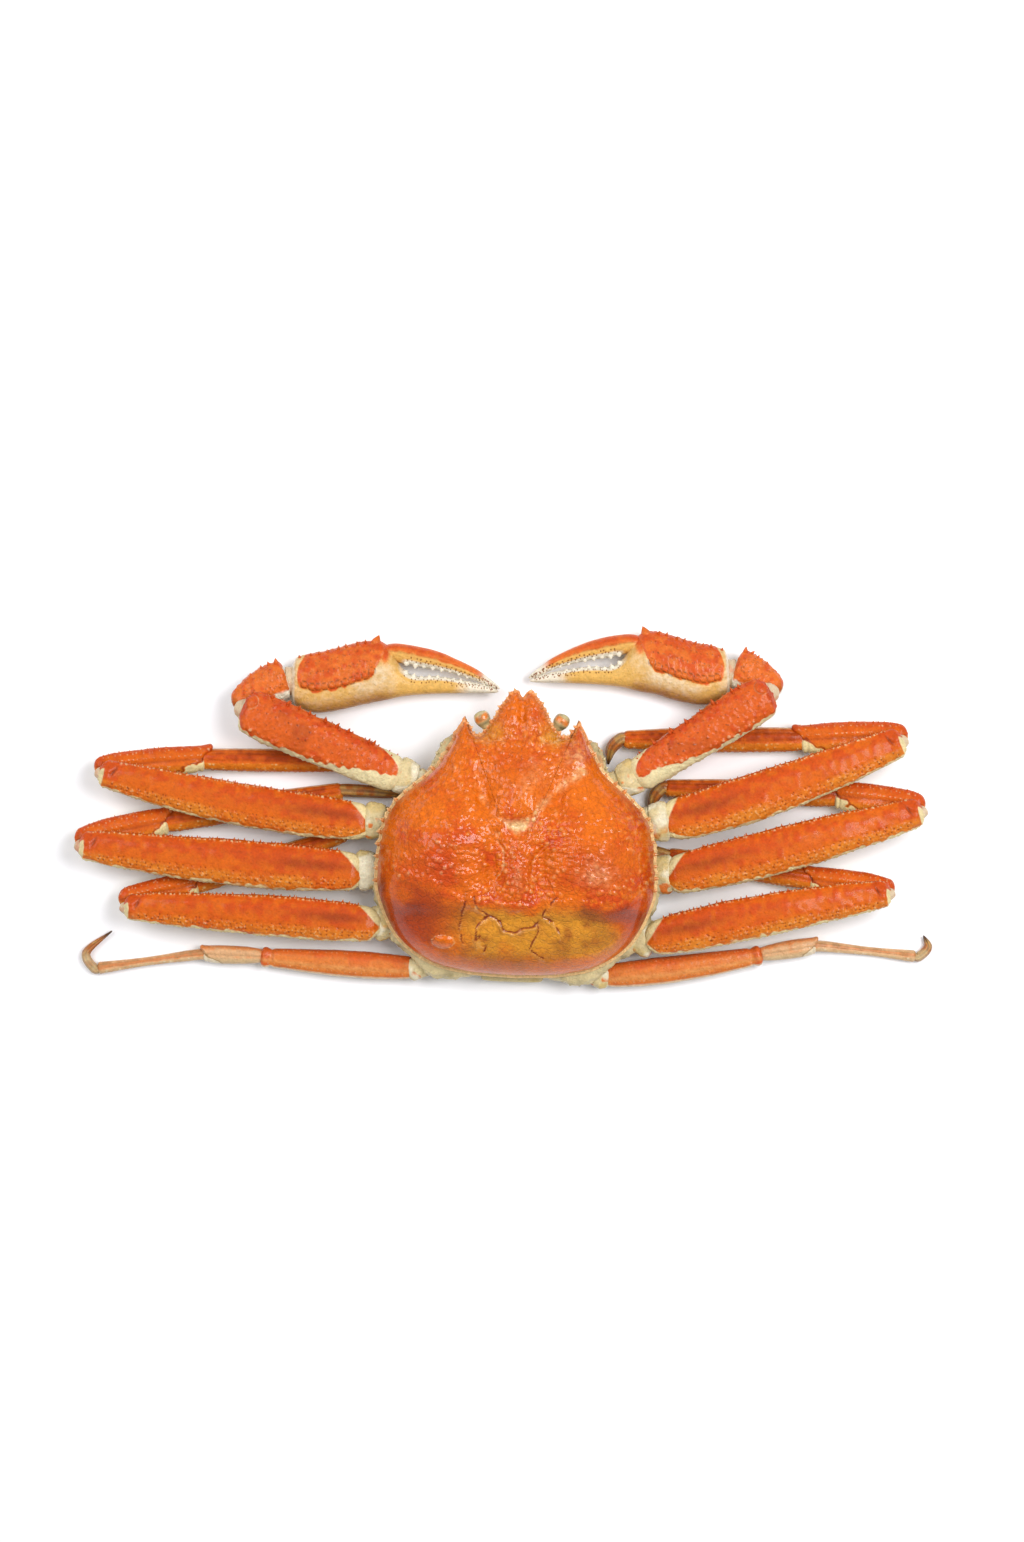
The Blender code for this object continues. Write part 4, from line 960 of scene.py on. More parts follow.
def long_segment(name, spec, seed):
    """A merus: swept form, beaded front edge, pitted rear third, pale wedge at the hip and a red knee."""
    levels = (15.2, MERUS_LEVEL, MERUS_LEVEL + 0.4)
    rows = segment_rows(spec["hip"], spec["knee"], levels, spec["girth"], 5.6, MERUS_WIDTHS, spec["bow"])
    skin = sweep(rows, 270, 112, rounding=(7.0, 3.5))
    length = math.dist(spec["hip"], spec["knee"])
    s, w, up = skin.share, skin.across, skin.rise
    wander, fine = skin.cloudy(9.0, seed), skin.cloudy(2.4, seed + 1)
    above = ease(-0.3, 0.1, up)
    strip = ease(-0.2, -0.6, w) * above
    lip = hill(w, 0.9, 0.1) * above * ease(0.1, 0.16, s)
    grains = pebbles(skin.points, 1.8, seed + 7)
    hollow = hill(w, 0.25, 0.4) * above * ease(0.5, 0.1, s)
    skin.push(0.6 * wander + 0.2 * fine + 0.45 * grains * (strip + lip) - 0.4 * hollow)
    pit_rows = [(-0.36, 1, 0.1, 0.85), (-0.53, 1, 0.06, 0.93), (-0.7, 1, 0.05, 0.93)]
    wart_rows = [(-0.46, 1, 0.05, 0.93), (-0.62, 1, 0.05, 0.95), (-0.8, 1, 0.04, 0.95)]
    pits = dots(skin, scattered(pit_rows, 3.3, length, seed, jitter=0.35), 0.9, 0.4)
    beads = dots(skin, scattered([(0.92, 1, 0.1, 0.95)], 1.7, length, seed + 2, jitter=0.4), 0.85, 0.6)
    warts = dots(skin, scattered(wart_rows, 2.6, length, seed + 8), 0.75, 0.3)
    knee = dots(skin, np.array([(0.965, -0.2, 1), (0.955, -0.55, 1), (0.975, 0.25, 1)]), 3.2, 1.0)
    notch = hill(s, 0.952 - 0.018 * w, 0.005) * hill(w, 0.3, 0.4) * above
    skin.push(beads + warts - pits + 0.7 * knee - 0.8 * notch)
    front_cut = 0.085 * np.clip((w + 0.26) / 1.26, 0, 1) ** 1.4
    bare_share = 0.13 if name.endswith("1") else 0.05
    rear_cut = 0.008 + bare_share * np.clip((-0.5 - w) / 0.5, 0, 1) ** 1.5
    flush = (0.55 * hill(w, 0.55, 0.4) + 0.35 * hill(s, 0.3, 0.25) + 1.6 * fine) * above
    shade = 0.6 * hill(s, 0.18, 0.18) * hill(w, 0.2, 0.32) * above
    knee_rim = ease(0.973, 0.981, s - 0.004 * np.abs(w + 0.2)) * ease(0.5, 0.25, w)
    bead_caps = 0.6 * ease(0.2, 0.8, beads / 0.6) + 0.4 * warts / 0.3
    skin.paint(red=flush + ease(0.9, 0.97, s), amber=ease(-0.1, -0.6, w) * (0.55 + wander))
    skin.paint(brown=shade + 0.85 * ease(0.3, 0.9, pits / 0.4) + notch)
    # Painted shade: brown along the middle of the front side wall, which darkens the leg's front edge.
    skin.paint(brown=0.5 * ease(-0.1, 0.0, 0.1 - np.abs(up)) * ease(0.9, 1.0, w))
    skin.paint(pale=ease(0.012, -0.01, s - front_cut - rear_cut + 0.012 * wander) + ease(0.05, -0.25, up))
    skin.paint(pale=ease(-0.84, -0.95, w + 0.2 * fine) + bead_caps)
    skin.paint(pale=0.5 * grains * lip + 0.34 * ease(0.2, 0.8, grains) * strip + knee_rim)
    thorn = scattered([(0.95, 1, 0.1, 0.94), (0.985, -1, 0.1, 0.9)], 3.2, length, seed + 3)
    sizes = np.random.default_rng(seed + 4).uniform(0.7, 1.3, len(thorn))
    thorns = cones(
        *skin.at(*thorn.T), sizes, 0.42 * sizes**0.5, tint_root=(0, 0.6, 0, 0), tint_tip=(0.5, 0, 0.4, 0),
    )
    piece(f"{name}_merus_skin", "leg_shell", [skin.mesh(), thorns], node=f"{name}_merus")


for number, (name, spec) in enumerate(FOLDED_LEGS.items()):
    long_segment(name, spec, 100 + 10 * number)
print("triangles in one long segment:", made_pieces[-1][1])

# %% [markdown]
# ### The folded lower segments
#
# The short segment after the knee turns back under the long one and carries a thorny front edge and
# a cream corner at its wrist. The next one is ridged along its length, and the last is a horny claw.

# %% Short, ridged and last segments
def short_segment(rows, look, seed, node, bulk=1.0, thorny=True, rounding=(3.0, 2.0)):
    """A carpus: granular red front edge, broad groove, and a spur and a pale corner near the wrist."""
    skin = sweep(rows, 140, 80, rounding=rounding)
    run = np.asarray(rows)[-1][:2] - np.asarray(rows)[0][:2]
    length = np.linalg.norm(run)
    s, w, up = skin.share, skin.across, skin.rise
    sideways = (skin.points - skin.points.mean(1, keepdims=True))[..., 1]
    spur = 4.2 * bulk * ease(0.75, 0.97, s) * ease(0.1, 0.9, sideways / sideways.max())
    skin.points[..., :2] += spur[..., None] * run / length
    above = ease(-0.2, 0.2, up)
    fine = skin.cloudy(2.2, seed + 1)
    grains = pebbles(skin.points, 1.6, seed + 5)
    skin.push((0.4 * skin.cloudy(6.0, seed) + 0.2 * fine) * bulk)
    bead_rows = [(0.3, 1, 0.1, 0.95), (-0.4, 1, 0.15, 0.7), (0.72, 1, 0.1, 0.95)]
    knobs = dots(skin, scattered(bead_rows, 2.2, length, seed + 2), 0.7 * bulk, 0.32 * bulk)
    lip = hill(w, 0.88, 0.14) * above
    groove = hill(w, 0.0, 0.16) * above * ease(0.05, 0.2, s)
    skin.push(knobs + 0.4 * bulk * (grains * lip - groove))
    flare = 0.9 * hill(s, 0.96, 0.04) * ease(0.3, 0.9, w)
    skin.push(bulk * (flare - 0.5 * hill(s, 0.93, 0.012) * ease(0.0, -0.3, w)))
    corner = (s - 0.7) / 0.3 - (w + 1.0) * 0.95 + 0.5 * fine
    corner_line = hill(corner, -0.05, 0.07) * above * ease(0.6, 0.7, s)
    skin.paint(red=0.9 * ease(0.3, 0.95, w) * above + 0.8 * ease(0.16, 0.02, s) + 1.2 * fine)
    skin.paint(amber=0.8 * ease(0.0, -0.7, w) * above)
    skin.paint(brown=0.5 * hill(w, 0.0, 0.14) * above + 0.9 * corner_line)
    bead_caps = 0.5 * knobs / (0.32 * bulk) + 0.4 * grains * lip
    skin.paint(pale=ease(0.0, 0.12, corner) + ease(-0.1, -0.45, up) + bead_caps)
    parts = [skin.mesh()]
    if thorny:
        thorn = scattered([(0.93, 1, 0.08, 0.96)], 2.6, length, seed + 3)
        sizes = np.random.default_rng(seed + 4).uniform(0.5, 1.0, len(thorn))
        parts.append(cones(
            *skin.at(*thorn.T), sizes, 0.35, tint_root=(0, 0.6, 0, 0), tint_tip=(0.6, 0, 0, 0),
        ))
    piece(f"{node}_skin", look, parts, node=node)


def ridged_segment(rows, look, seed, node, ridge=0.35, rounding=(2.5, 2.5), warm=0.0):
    """A propodus: two furrows along a smooth brown upper half, and a granular yellow rear half."""
    skin = sweep(rows, 170, 96, rounding=rounding)
    s, w, up = skin.share, skin.across, skin.rise
    above = ease(-0.2, 0.2, up)
    grains = pebbles(skin.points, 1.7, seed)
    fine = skin.cloudy(2.0, seed + 1)
    furrow = (hill(w, 0.55, 0.1) + hill(w, -0.12, 0.08)) * above * ease(0.02, 0.1, s) * ease(1.0, 0.95, s)
    strip = ease(-0.2, -0.45, w) * ease(-0.5, -0.1, up)
    skin.push(ridge * (grains * strip + 0.3 * fine - furrow))
    dark = 0.42 * ease(-0.3, 0.1, w) * ease(-0.5, 0.0, up) * (0.8 + 1.5 * fine)
    light = 0.5 * strip * ease(0.2, 0.8, grains) + 0.5 * hill(w, 0.93, 0.08) * above
    skin.paint(brown=dark + 0.25 * furrow, amber=strip * (0.6 + 0.6 * grains))
    skin.paint(red=0.95 * hill(w, 0.25, 0.3) * above + 1.2 * fine + warm)
    skin.paint(pale=ease(-0.35, -0.7, up) + ease(0.02, 0.0, s) + light)
    piece(f"{node}_skin", look, [skin.mesh()], node=node)


def last_segment(rows, seed, node, pale=0.0):
    """A dactyl: a horny claw with six long furrows, darkening towards its tip."""
    skin = sweep(rows, 90, 48, rounding=(1.5, 0.8), squareness=2.2)
    ribs = np.cos(6 * np.arctan2(skin.rise, skin.across))
    skin.push(0.16 * ribs * ease(1.0, 0.6, skin.share))
    skin.paint(brown=ease(0.7, 0.98, skin.share) + 0.45 * ease(0.2, -0.6, ribs))
    skin.paint(amber=0.7 * ease(0.3, 0.7, cloud(skin.points, 2.5, seed)))
    skin.paint(pale=pale * ease(0.7, 0.3, skin.share))
    piece(f"{node}_skin", "claw_tip", [skin.mesh()], node=node)


def hip_segment(name, coxa, hip, level, girth, height, seed, lean=0.0):
    """An ischium: a pale wedge that hugs the next segment, with orange spots and a grainy front corner."""
    coxa, hip = np.array(coxa), np.array(hip)
    level = min(level, rim_height(coxa[1]) - 2.0 - 0.92 * height)
    out = unit(hip - coxa)
    front = np.array([-out[1], out[0]]) * (1 if out[0] > 0 else -1)
    near, far = hip - out * 1.0, hip + out * 5.0
    rows = [
        (*coxa, level - 0.4, girth * 0.6, height * 0.8),
        (*(coxa + (near - coxa) * 0.6), level, girth * 0.72, height * 0.9),
        (*(near + front * lean * 0.5), level + 0.1, girth * 0.86, height * 0.94),
        (*(far + front * lean), level - 0.2, girth * 0.9, height * 0.84),
    ]
    skin = sweep(rows, 90, 80, rounding=(2.5, 3.4))
    s, w = skin.share, skin.across
    grains = pebbles(skin.points, 1.6, seed + 5) * ease(0.4, 0.9, w)
    skin.push(0.6 * skin.cloudy(4.0, seed) + 0.3 * skin.cloudy(1.6, seed + 1) + 0.3 * grains)
    skin.push(-0.7 * hill(s, 0.36 + 0.05 * w, 0.03))
    spots = ease(0.66, 0.76, cloud(skin.points, 2.6, seed + 2))
    stains = ease(0.55, 0.8, cloud(skin.points, 3.4, seed + 6))
    skin.paint(red=spots * ease(-0.2, 0.2, skin.rise) * ease(0.6, -0.2, w))
    skin.paint(brown=0.5 * hill(s, 0.36 + 0.05 * w, 0.04) + 0.4 * stains)
    skin.paint(amber=0.6 * ease(0.4, 0.7, cloud(skin.points, 5.0, seed + 3)))
    skin.paint(pale=0.8 * ease(0.5, 0.7, cloud(skin.points, 6.0, seed + 4)))
    piece(f"{name}_ischium_skin", "pale_shell", [skin.mesh()], node=f"{name}_ischium")


def joint_skin(name, rows, seed):
    """Soft white skin that bridges the gap between two hard pieces, in fine folds."""
    skin = sweep(rows, 48, 48, rounding=(1.0, 1.0), squareness=2.2)
    skin.push(0.12 * np.cos(skin.share * 60))
    skin.paint(red=0.45 * ease(0.5, 0.8, cloud(skin.points, 2.0, seed)))
    piece(f"{name}_skin", "joint_skin", [skin.mesh()])


for number, (name, spec) in enumerate(FOLDED_LEGS.items()):
    seed, girth = 300 + 20 * number, spec["girth"]
    hip_segment(name, spec["coxa"], spec["hip"], MERUS_LEVEL - 1.5, girth, 5.4, seed, lean=1.4)
    carpus_rows = segment_rows(
        spec["heel"], spec["wrist"], (11.5, CARPUS_LEVEL + 0.6, CARPUS_LEVEL, CARPUS_LEVEL, 5.8),
        girth * 0.66, 4.7, CARPUS_WIDTHS,
    )
    short_segment(carpus_rows, "leg_shell", seed + 4, f"{name}_carpus")
    wrist, ankle, heel, tip, knee, hip = (
        np.array(spec[key]) for key in ("wrist", "ankle", "heel", "tip", "knee", "hip")
    )
    root = wrist + unit(heel - wrist) * 3.0
    ridged_segment(
        segment_rows(root, ankle, (5.4, PROPODUS_LEVEL, PROPODUS_LEVEL), girth * 0.52, 4.3, PROPODUS_WIDTHS),
        "leg_shell", seed + 8, f"{name}_propodus",
    )
    back = unit(wrist - ankle)
    start, middle = ankle + back * 2.2, ankle * 0.62 + tip * 0.38 - back * 2.4
    last_rows = [
        (*start, PROPODUS_LEVEL, 2.5, 2.6), (*(ankle - back * 0.6), PROPODUS_LEVEL + 0.3, 2.7, 2.7),
        (*middle, PROPODUS_LEVEL, 2.4, 2.4), (*tip, spec["tip_level"], 0.5, 0.6),
    ]
    last_segment(last_rows, seed + 12, f"{name}_dactyl")
    inward = unit(hip - knee)
    joint_skin(f"{name}_knee", [
        (*(knee + inward * 5 - (0, girth * 0.12)), 16.4, girth * 0.3, 3.0),
        (*(knee + inward * 1.6 - (0, girth * 0.1)), 15.8, girth * 0.3, 3.0),
        (*(knee - inward * 1.0), 14.0, girth * 0.24, 2.4),
    ], seed + 16)
print("pieces so far:", len(made_pieces))

# %% [markdown]
# ## The small last legs
#
# The last pair is thin and lies stretched out on the table, pinkish near the body and cream and
# olive towards its hooked tip.

# %% Small legs
SMALL_GIRTH = 5.8
STRETCHED_LEGS = {
    "right_leg_4": dict(
        coxa=(28.0, -42.0), hip=(37.0, -46.4), knee=(108.0, -37.0), bow=-1.2, heel=(106.0, -37.0),
        wrist=(131.6, -33.0), ankle=(175.6, -37.8), bend=(180.9, -33.8), tip=(179.0, -28.6),
    ),
    "left_leg_4": dict(
        coxa=(-33.0, -39.8), hip=(-43.4, -42.8), knee=(-112.0, -37.8), bow=-0.4, heel=(-109.5, -37.6),
        wrist=(-137.2, -36.6), ankle=(-183.8, -43.0), bend=(-188.6, -36.0), tip=(-177.4, -26.6),
    ),
}


def small_long_segment(name, spec, seed):
    """The merus of a small leg: smoother, with a pale rear edge and sparse small knobs."""
    rows = segment_rows(
        spec["hip"], spec["knee"], (6.2, 5.4, 5.2), SMALL_GIRTH, 4.6, MERUS_WIDTHS, spec["bow"],
    )
    skin = sweep(rows, 190, 80, rounding=(4.0, 1.6))
    length = math.dist(spec["hip"], spec["knee"])
    s, w, up = skin.share, skin.across, skin.rise
    skin.push(0.3 * skin.cloudy(7.0, seed) + 0.12 * skin.cloudy(1.3, seed + 1))
    beads = scattered([(-0.6, 1, 0.05, 0.95), (0.8, 1, 0.1, 0.9)], 2.4, length, seed + 2)
    knobs = dots(skin, beads, 0.6, 0.22)
    skin.push(knobs + 0.7 * hill(s, 0.97, 0.02) - 0.4 * hill(s, 0.93, 0.012))
    patchy_red = 0.4 * ease(0.4, 0.75, cloud(skin.points, 5.0, seed + 3))
    skin.paint(red=0.9 * ease(0.93, 0.96, s) + 0.7 * ease(0.2, 0.7, w) + patchy_red)
    skin.paint(amber=0.5 * hill(w, -0.3, 0.3))
    ends = ease(-0.1, -0.5, up) + ease(0.05, 0.02, s)
    skin.paint(pale=0.8 * ease(-0.7, -0.95, w) + ends + 0.5 * knobs / 0.22)
    piece(f"{name}_merus_skin", "small_leg_shell", [skin.mesh()], node=f"{name}_merus")


for number, (name, spec) in enumerate(STRETCHED_LEGS.items()):
    seed = 500 + 20 * number
    hip_segment(name, spec["coxa"], spec["hip"], 6.8, SMALL_GIRTH, 4.2, seed)
    small_long_segment(name, spec, seed + 4)
    short_segment(
        segment_rows(spec["heel"], spec["wrist"], (4.8, 4.4, 4.2), 3.9, 3.6, CARPUS_WIDTHS),
        "thin_leg_shell", seed + 8, f"{name}_carpus", bulk=0.5, thorny=False, rounding=(1.6, 1.6),
    )
    wrist, ankle, heel = (np.array(spec[key]) for key in ("wrist", "ankle", "heel"))
    root = wrist + unit(heel - wrist) * 2.0
    middle = wrist + (ankle - wrist) * 0.55
    ridged_rows = [
        (*root, 3.8, 2.4, 2.3), (*(wrist - (wrist - ankle) * 0.1), 3.4, 2.4, 2.3),
        (*middle, 2.4, 1.9, 1.9), (*ankle, 2.7, 2.7, 2.4),
    ]
    ridged_segment(
        ridged_rows, "thin_leg_shell", seed + 12, f"{name}_propodus", ridge=0.12, rounding=(1.4, 1.4),
        warm=0.4 if root[0] < 0 else 0.0,
    )
    back = unit(wrist - ankle)
    last_rows = [
        (*(ankle + back * 1.2), 2.7, 1.4, 1.4), (*(ankle - back * 1.4), 2.7, 1.9, 1.9),
        (*spec["bend"], 2.6, 1.7, 1.7), (*spec["tip"], 2.2, 0.35, 0.4),
    ]
    last_segment(last_rows, seed + 16, f"{name}_dactyl", pale=0.5)
print("pieces so far:", len(made_pieces))

# %% [markdown]
# ## The claw arms
#
# The arms carry larger thorns on the front edge and rows of round granules. The hand is orange
# above and beige below, with a scalloped border between, and its two fingers leave a narrow gap
# with teeth and dark bristles.

# %% Claw arms
CLAWS = {
    "right_claw": dict(
        side=1, coxa=(38.0, 35.5), hip=(50.5, 40.0), elbow=(110.8, 78.0), heel=(114.6, 77.4),
        hand=(95.6, 89.0), palm_turn=1.0, palm_root=(93.8, 86.2), reach=0.965, girth=9.6,
    ),
    "left_claw": dict(
        side=-1, coxa=(-36.5, 37.0), hip=(-49.0, 40.4), elbow=(-119.2, 70.8), heel=(-122.8, 71.6),
        hand=(-100.0, 84.2), palm_turn=0.0, palm_root=(-98.6, 83.0), reach=1.0, girth=10.2,
    ),
}
PALM_ROWS = [
    (0, 0.0, 9.6, 6.6), (6, -0.4, 12.0, 7.5), (14, -0.4, 13.6, 8.0), (24, 1.6, 14.0, 8.0),
    (32, 3.6, 14.0, 7.8), (39, 4.2, 13.2, 7.4), (44, 2.4, 10.4, 6.8), (48, -0.4, 6.6, 5.8),
    (54, -2.0, 4.2, 4.8), (64, -1.8, 3.8, 4.0), (76, -2.6, 2.8, 3.2), (85, -3.6, 1.8, 2.4),
    (91, -4.6, 0.7, 1.2),
]
FINGER_ROWS = [
    (38.5, 12.4, 3.0, 3.6), (44, 12.6, 4.0, 4.8), (51, 11.6, 4.4, 5.0), (58, 10.2, 4.4, 4.8),
    (65, 8.6, 3.9, 4.2), (73, 6.0, 3.1, 3.6), (81, 2.6, 2.4, 2.8), (87, -0.8, 1.6, 2.0),
    (91.5, -3.4, 0.6, 0.9),
]


BORDER_KNOBS = 22
WRIST_KNOBS = 40
TEETH = 11
BRISTLE_ROWS = [(22, 0.62), (19, 0.36), (12, 0.05)]


def arm_segment(name, spec, seed):
    """The arm's long segment: thorny front edge, rows of knobs, and a cream band along its rear edge."""
    rows = segment_rows(
        spec["hip"], spec["elbow"], (18.0, 19.5, 20.0), spec["girth"], 6.6,
        [(0, 0.78), (0.2, 0.86), (0.5, 0.95), (0.8, 1.02), (1, 0.92)],
    )
    skin = sweep(rows, 220, 112, rounding=(6.0, 4.5))
    length = math.dist(spec["hip"], spec["elbow"])
    s, w, up = skin.share, skin.across, skin.rise
    above = ease(-0.3, 0.1, up)
    wander, fine = skin.cloudy(7.0, seed), skin.cloudy(2.0, seed + 1)
    grains = pebbles(skin.points, 2.6, seed + 7)
    skin.push(0.6 * wander + 0.25 * fine + 0.45 * grains * above * ease(0.1, 0.2, s))
    band = -0.12 - 0.66 * ease(0.04, 0.5, s) - 0.08 * s
    draw = np.random.default_rng(seed + 6)
    knob_share = np.linspace(0.12, 0.94, BORDER_KNOBS) + draw.normal(0, 0.008, BORDER_KNOBS)
    knob_across = np.interp(knob_share, s[:, 0], band[:, 0]) + 0.13 + draw.normal(0, 0.05, BORDER_KNOBS)
    border = bumps(
        skin.points, skin.at(knob_share, knob_across)[0], draw.uniform(1.0, 1.9, BORDER_KNOBS),
        draw.uniform(0.3, 0.8, BORDER_KNOBS),
    )
    knob_rows = [(0.25, 1, 0.15, 0.9), (-0.2, 1, 0.3, 0.9), (0.55, 1, 0.15, 0.9)]
    knobs = dots(skin, scattered(knob_rows, 4.2, length, seed + 2), 0.9, 0.4)
    elbow = dots(skin, np.array([(0.965, 0.5, 1)]), 4.6, 1.0)
    skin.push(border + knobs + elbow - 0.5 * hill(elbow, 0.12, 0.1))
    hip_cut = 0.04 + 0.16 * np.abs(w - 0.05) ** 2.6
    skin.paint(red=0.5 * ease(0.2, 0.8, w) * above + 1.6 * fine + 0.8 * ease(0.94, 0.98, s))
    skin.paint(brown=0.75 * ease(0.4, 1.0, knobs / 0.4) + 0.35 * ease(0.1, 0.35, wander) * above)
    pale_ends = ease(0.014, -0.014, s - hip_cut) + ease(-0.05, -0.35, up)
    skin.paint(pale=ease(0.05, -0.06, w - band + 0.25 * fine) + pale_ends)
    # A pale ring round the elbow knob and a pale line along the top of the front edge.
    painted_highlights_and_pale_rims = 0.35 * hill(elbow, 0.2, 0.12) + 0.3 * ease(0.94, 1.0, w) * above
    skin.paint(pale=0.42 * ease(0.2, 0.8, border) + painted_highlights_and_pale_rims)
    thorn = scattered([(0.93, 1, 0.22, 0.86)], 5.2, length, seed + 4)
    small = scattered([(0.84, 1, 0.1, 0.9), (0.98, -1, 0.1, 0.9)], 3.4, length, seed + 5)
    sizes = np.concatenate([draw.uniform(2.2, 3.1, len(thorn)), draw.uniform(0.7, 1.2, len(small))])
    thorns = cones(
        *skin.at(*np.vstack([thorn, small]).T), sizes, 0.55 * sizes**0.6, tint_root=(0, 0.8, 0, 0),
        tint_tip=(0.2, 0, 0.5, 0.2),
    )
    piece(f"{name}_merus_skin", "arm_shell", [skin.mesh(), thorns], node=f"{name}_merus")


def wrist_segment(name, spec, seed):
    """The claw's carpus: a granular knuckle with spikes at its inner corner."""
    rows = segment_rows(
        spec["heel"], spec["hand"], (15.0, 11.0, 9.6, 9.0), 8.4, 6.8,
        [(0, 0.5), (0.25, 0.8), (0.55, 0.96), (0.8, 1.0), (1, 0.95)], bow=1.5,
    )
    skin = sweep(rows, 120, 100, rounding=(3.5, 2.0))
    s, w, up = skin.share, skin.across, skin.rise
    fine = skin.cloudy(2.0, seed + 1)
    grains = pebbles(skin.points, 2.4, seed + 4) * ease(-0.2, 0.2, up)
    skin.push(0.5 * skin.cloudy(5.0, seed) + 0.25 * fine + 0.45 * grains)
    draw = np.random.default_rng(seed + 2)
    knob_share, knob_across = draw.uniform(0.15, 0.92, WRIST_KNOBS), draw.uniform(-0.5, 0.95, WRIST_KNOBS)
    knobs = bumps(skin.points, skin.at(knob_share, knob_across)[0], 1.0, 0.4)
    skin.push(knobs)
    skin.paint(red=0.3 * ease(0.3, 0.9, w) + 1.8 * fine)
    skin.paint(brown=0.6 * ease(0.5, 1.0, knobs / 0.4) + 0.5 * ease(0.12, 0.0, s))
    skin.paint(pale=ease(-0.55, -0.75, w + 0.3 * fine) + ease(0.0, -0.35, up) + 0.8 * ease(0.965, 0.985, s))
    thorns = cones(
        *skin.at([0.9, 0.8, 0.68, 0.5], [0.93, 0.95, 0.95, 0.95]), [2.6, 1.8, 1.4, 1.1], [1.3, 0.9, 0.7, 0.6],
        sides=10, tint_root=(0, 0.5, 0, 0), tint_tip=(0.3, 0.3, 0, 0),
    )
    piece(f"{name}_carpus_skin", "claw_shell", [skin.mesh(), thorns], node=f"{name}_carpus")


def hand_frame(spec):
    """Root, run and forward direction of the hand in plan."""
    turn, side = math.radians(spec["palm_turn"]), spec["side"]
    run = np.array([-side * math.cos(turn), math.sin(turn)])
    return np.array(spec["palm_root"]), run, np.array([side * math.sin(turn), math.cos(turn)])


def hand_rows(spec, rows):
    """Rows along the hand, from distance along, offset forward, half-width and half-height."""
    root, run, forward = hand_frame(spec)
    along, off, wide, high = np.array(rows, float).T
    plan = root + run * (along * spec["reach"])[:, None] + forward * off[:, None]
    return np.column_stack([plan, 8.0 - 0.01 * along, wide, high])


def bite_edge(skin, edge, start, seed):
    """Teeth along a finger's inner edge, with brown bristle dots and bristles around them."""
    s, w = skin.share, skin.across
    base, out = skin.at(np.linspace(start, 0.93, TEETH), edge * 0.9)
    taper = 1 - 0.6 * np.linspace(0, 1, TEETH)
    size = 1.7 * taper * (1 + 0.3 * np.sin(np.arange(TEETH) * 2.1))
    teeth = cones(base - 0.3 * out, out, size, 1.8 * taper, sides=10, tint_root=(0.9, 0, 0, 0.2))
    starts = (start, start + 0.03, 0.78)
    dot_share = np.concatenate([np.linspace(low, 0.97, n) for low, (n, _) in zip(starts, BRISTLE_ROWS)])
    dot_across = edge * np.concatenate([np.full(n, across) for n, across in BRISTLE_ROWS])
    count = len(dot_share)
    draw = np.random.default_rng(seed)
    dot_share = dot_share + draw.normal(0, 0.006, count)
    dot_across = dot_across + draw.normal(0, 0.06, count)
    holes = bumps(skin.points, skin.at(dot_share, dot_across)[0], 0.65, 0.3)
    skin.push(-holes)
    whitish = 0.9 * ease(0.35, 0.75, edge * w) * ease(start - 0.08, start + 0.02, s)
    skin.paint(pale=whitish + ease(0.74, 0.92, s), brown=ease(0.3, 0.8, holes / 0.3))
    skin.tint[..., 0] *= 1 - 0.95 * ease(0.3, 0.8, holes / 0.3)
    base, out = skin.at(dot_share, dot_across)
    hairs = cones(
        base, out + (0, 0.6 * edge, 0), draw.uniform(0.5, 1.0, count), 0.2, sides=3,
        tint_root=(0, 0, 1, 0), tint_tip=(0, 0, 1, 0),
    )
    return teeth, hairs


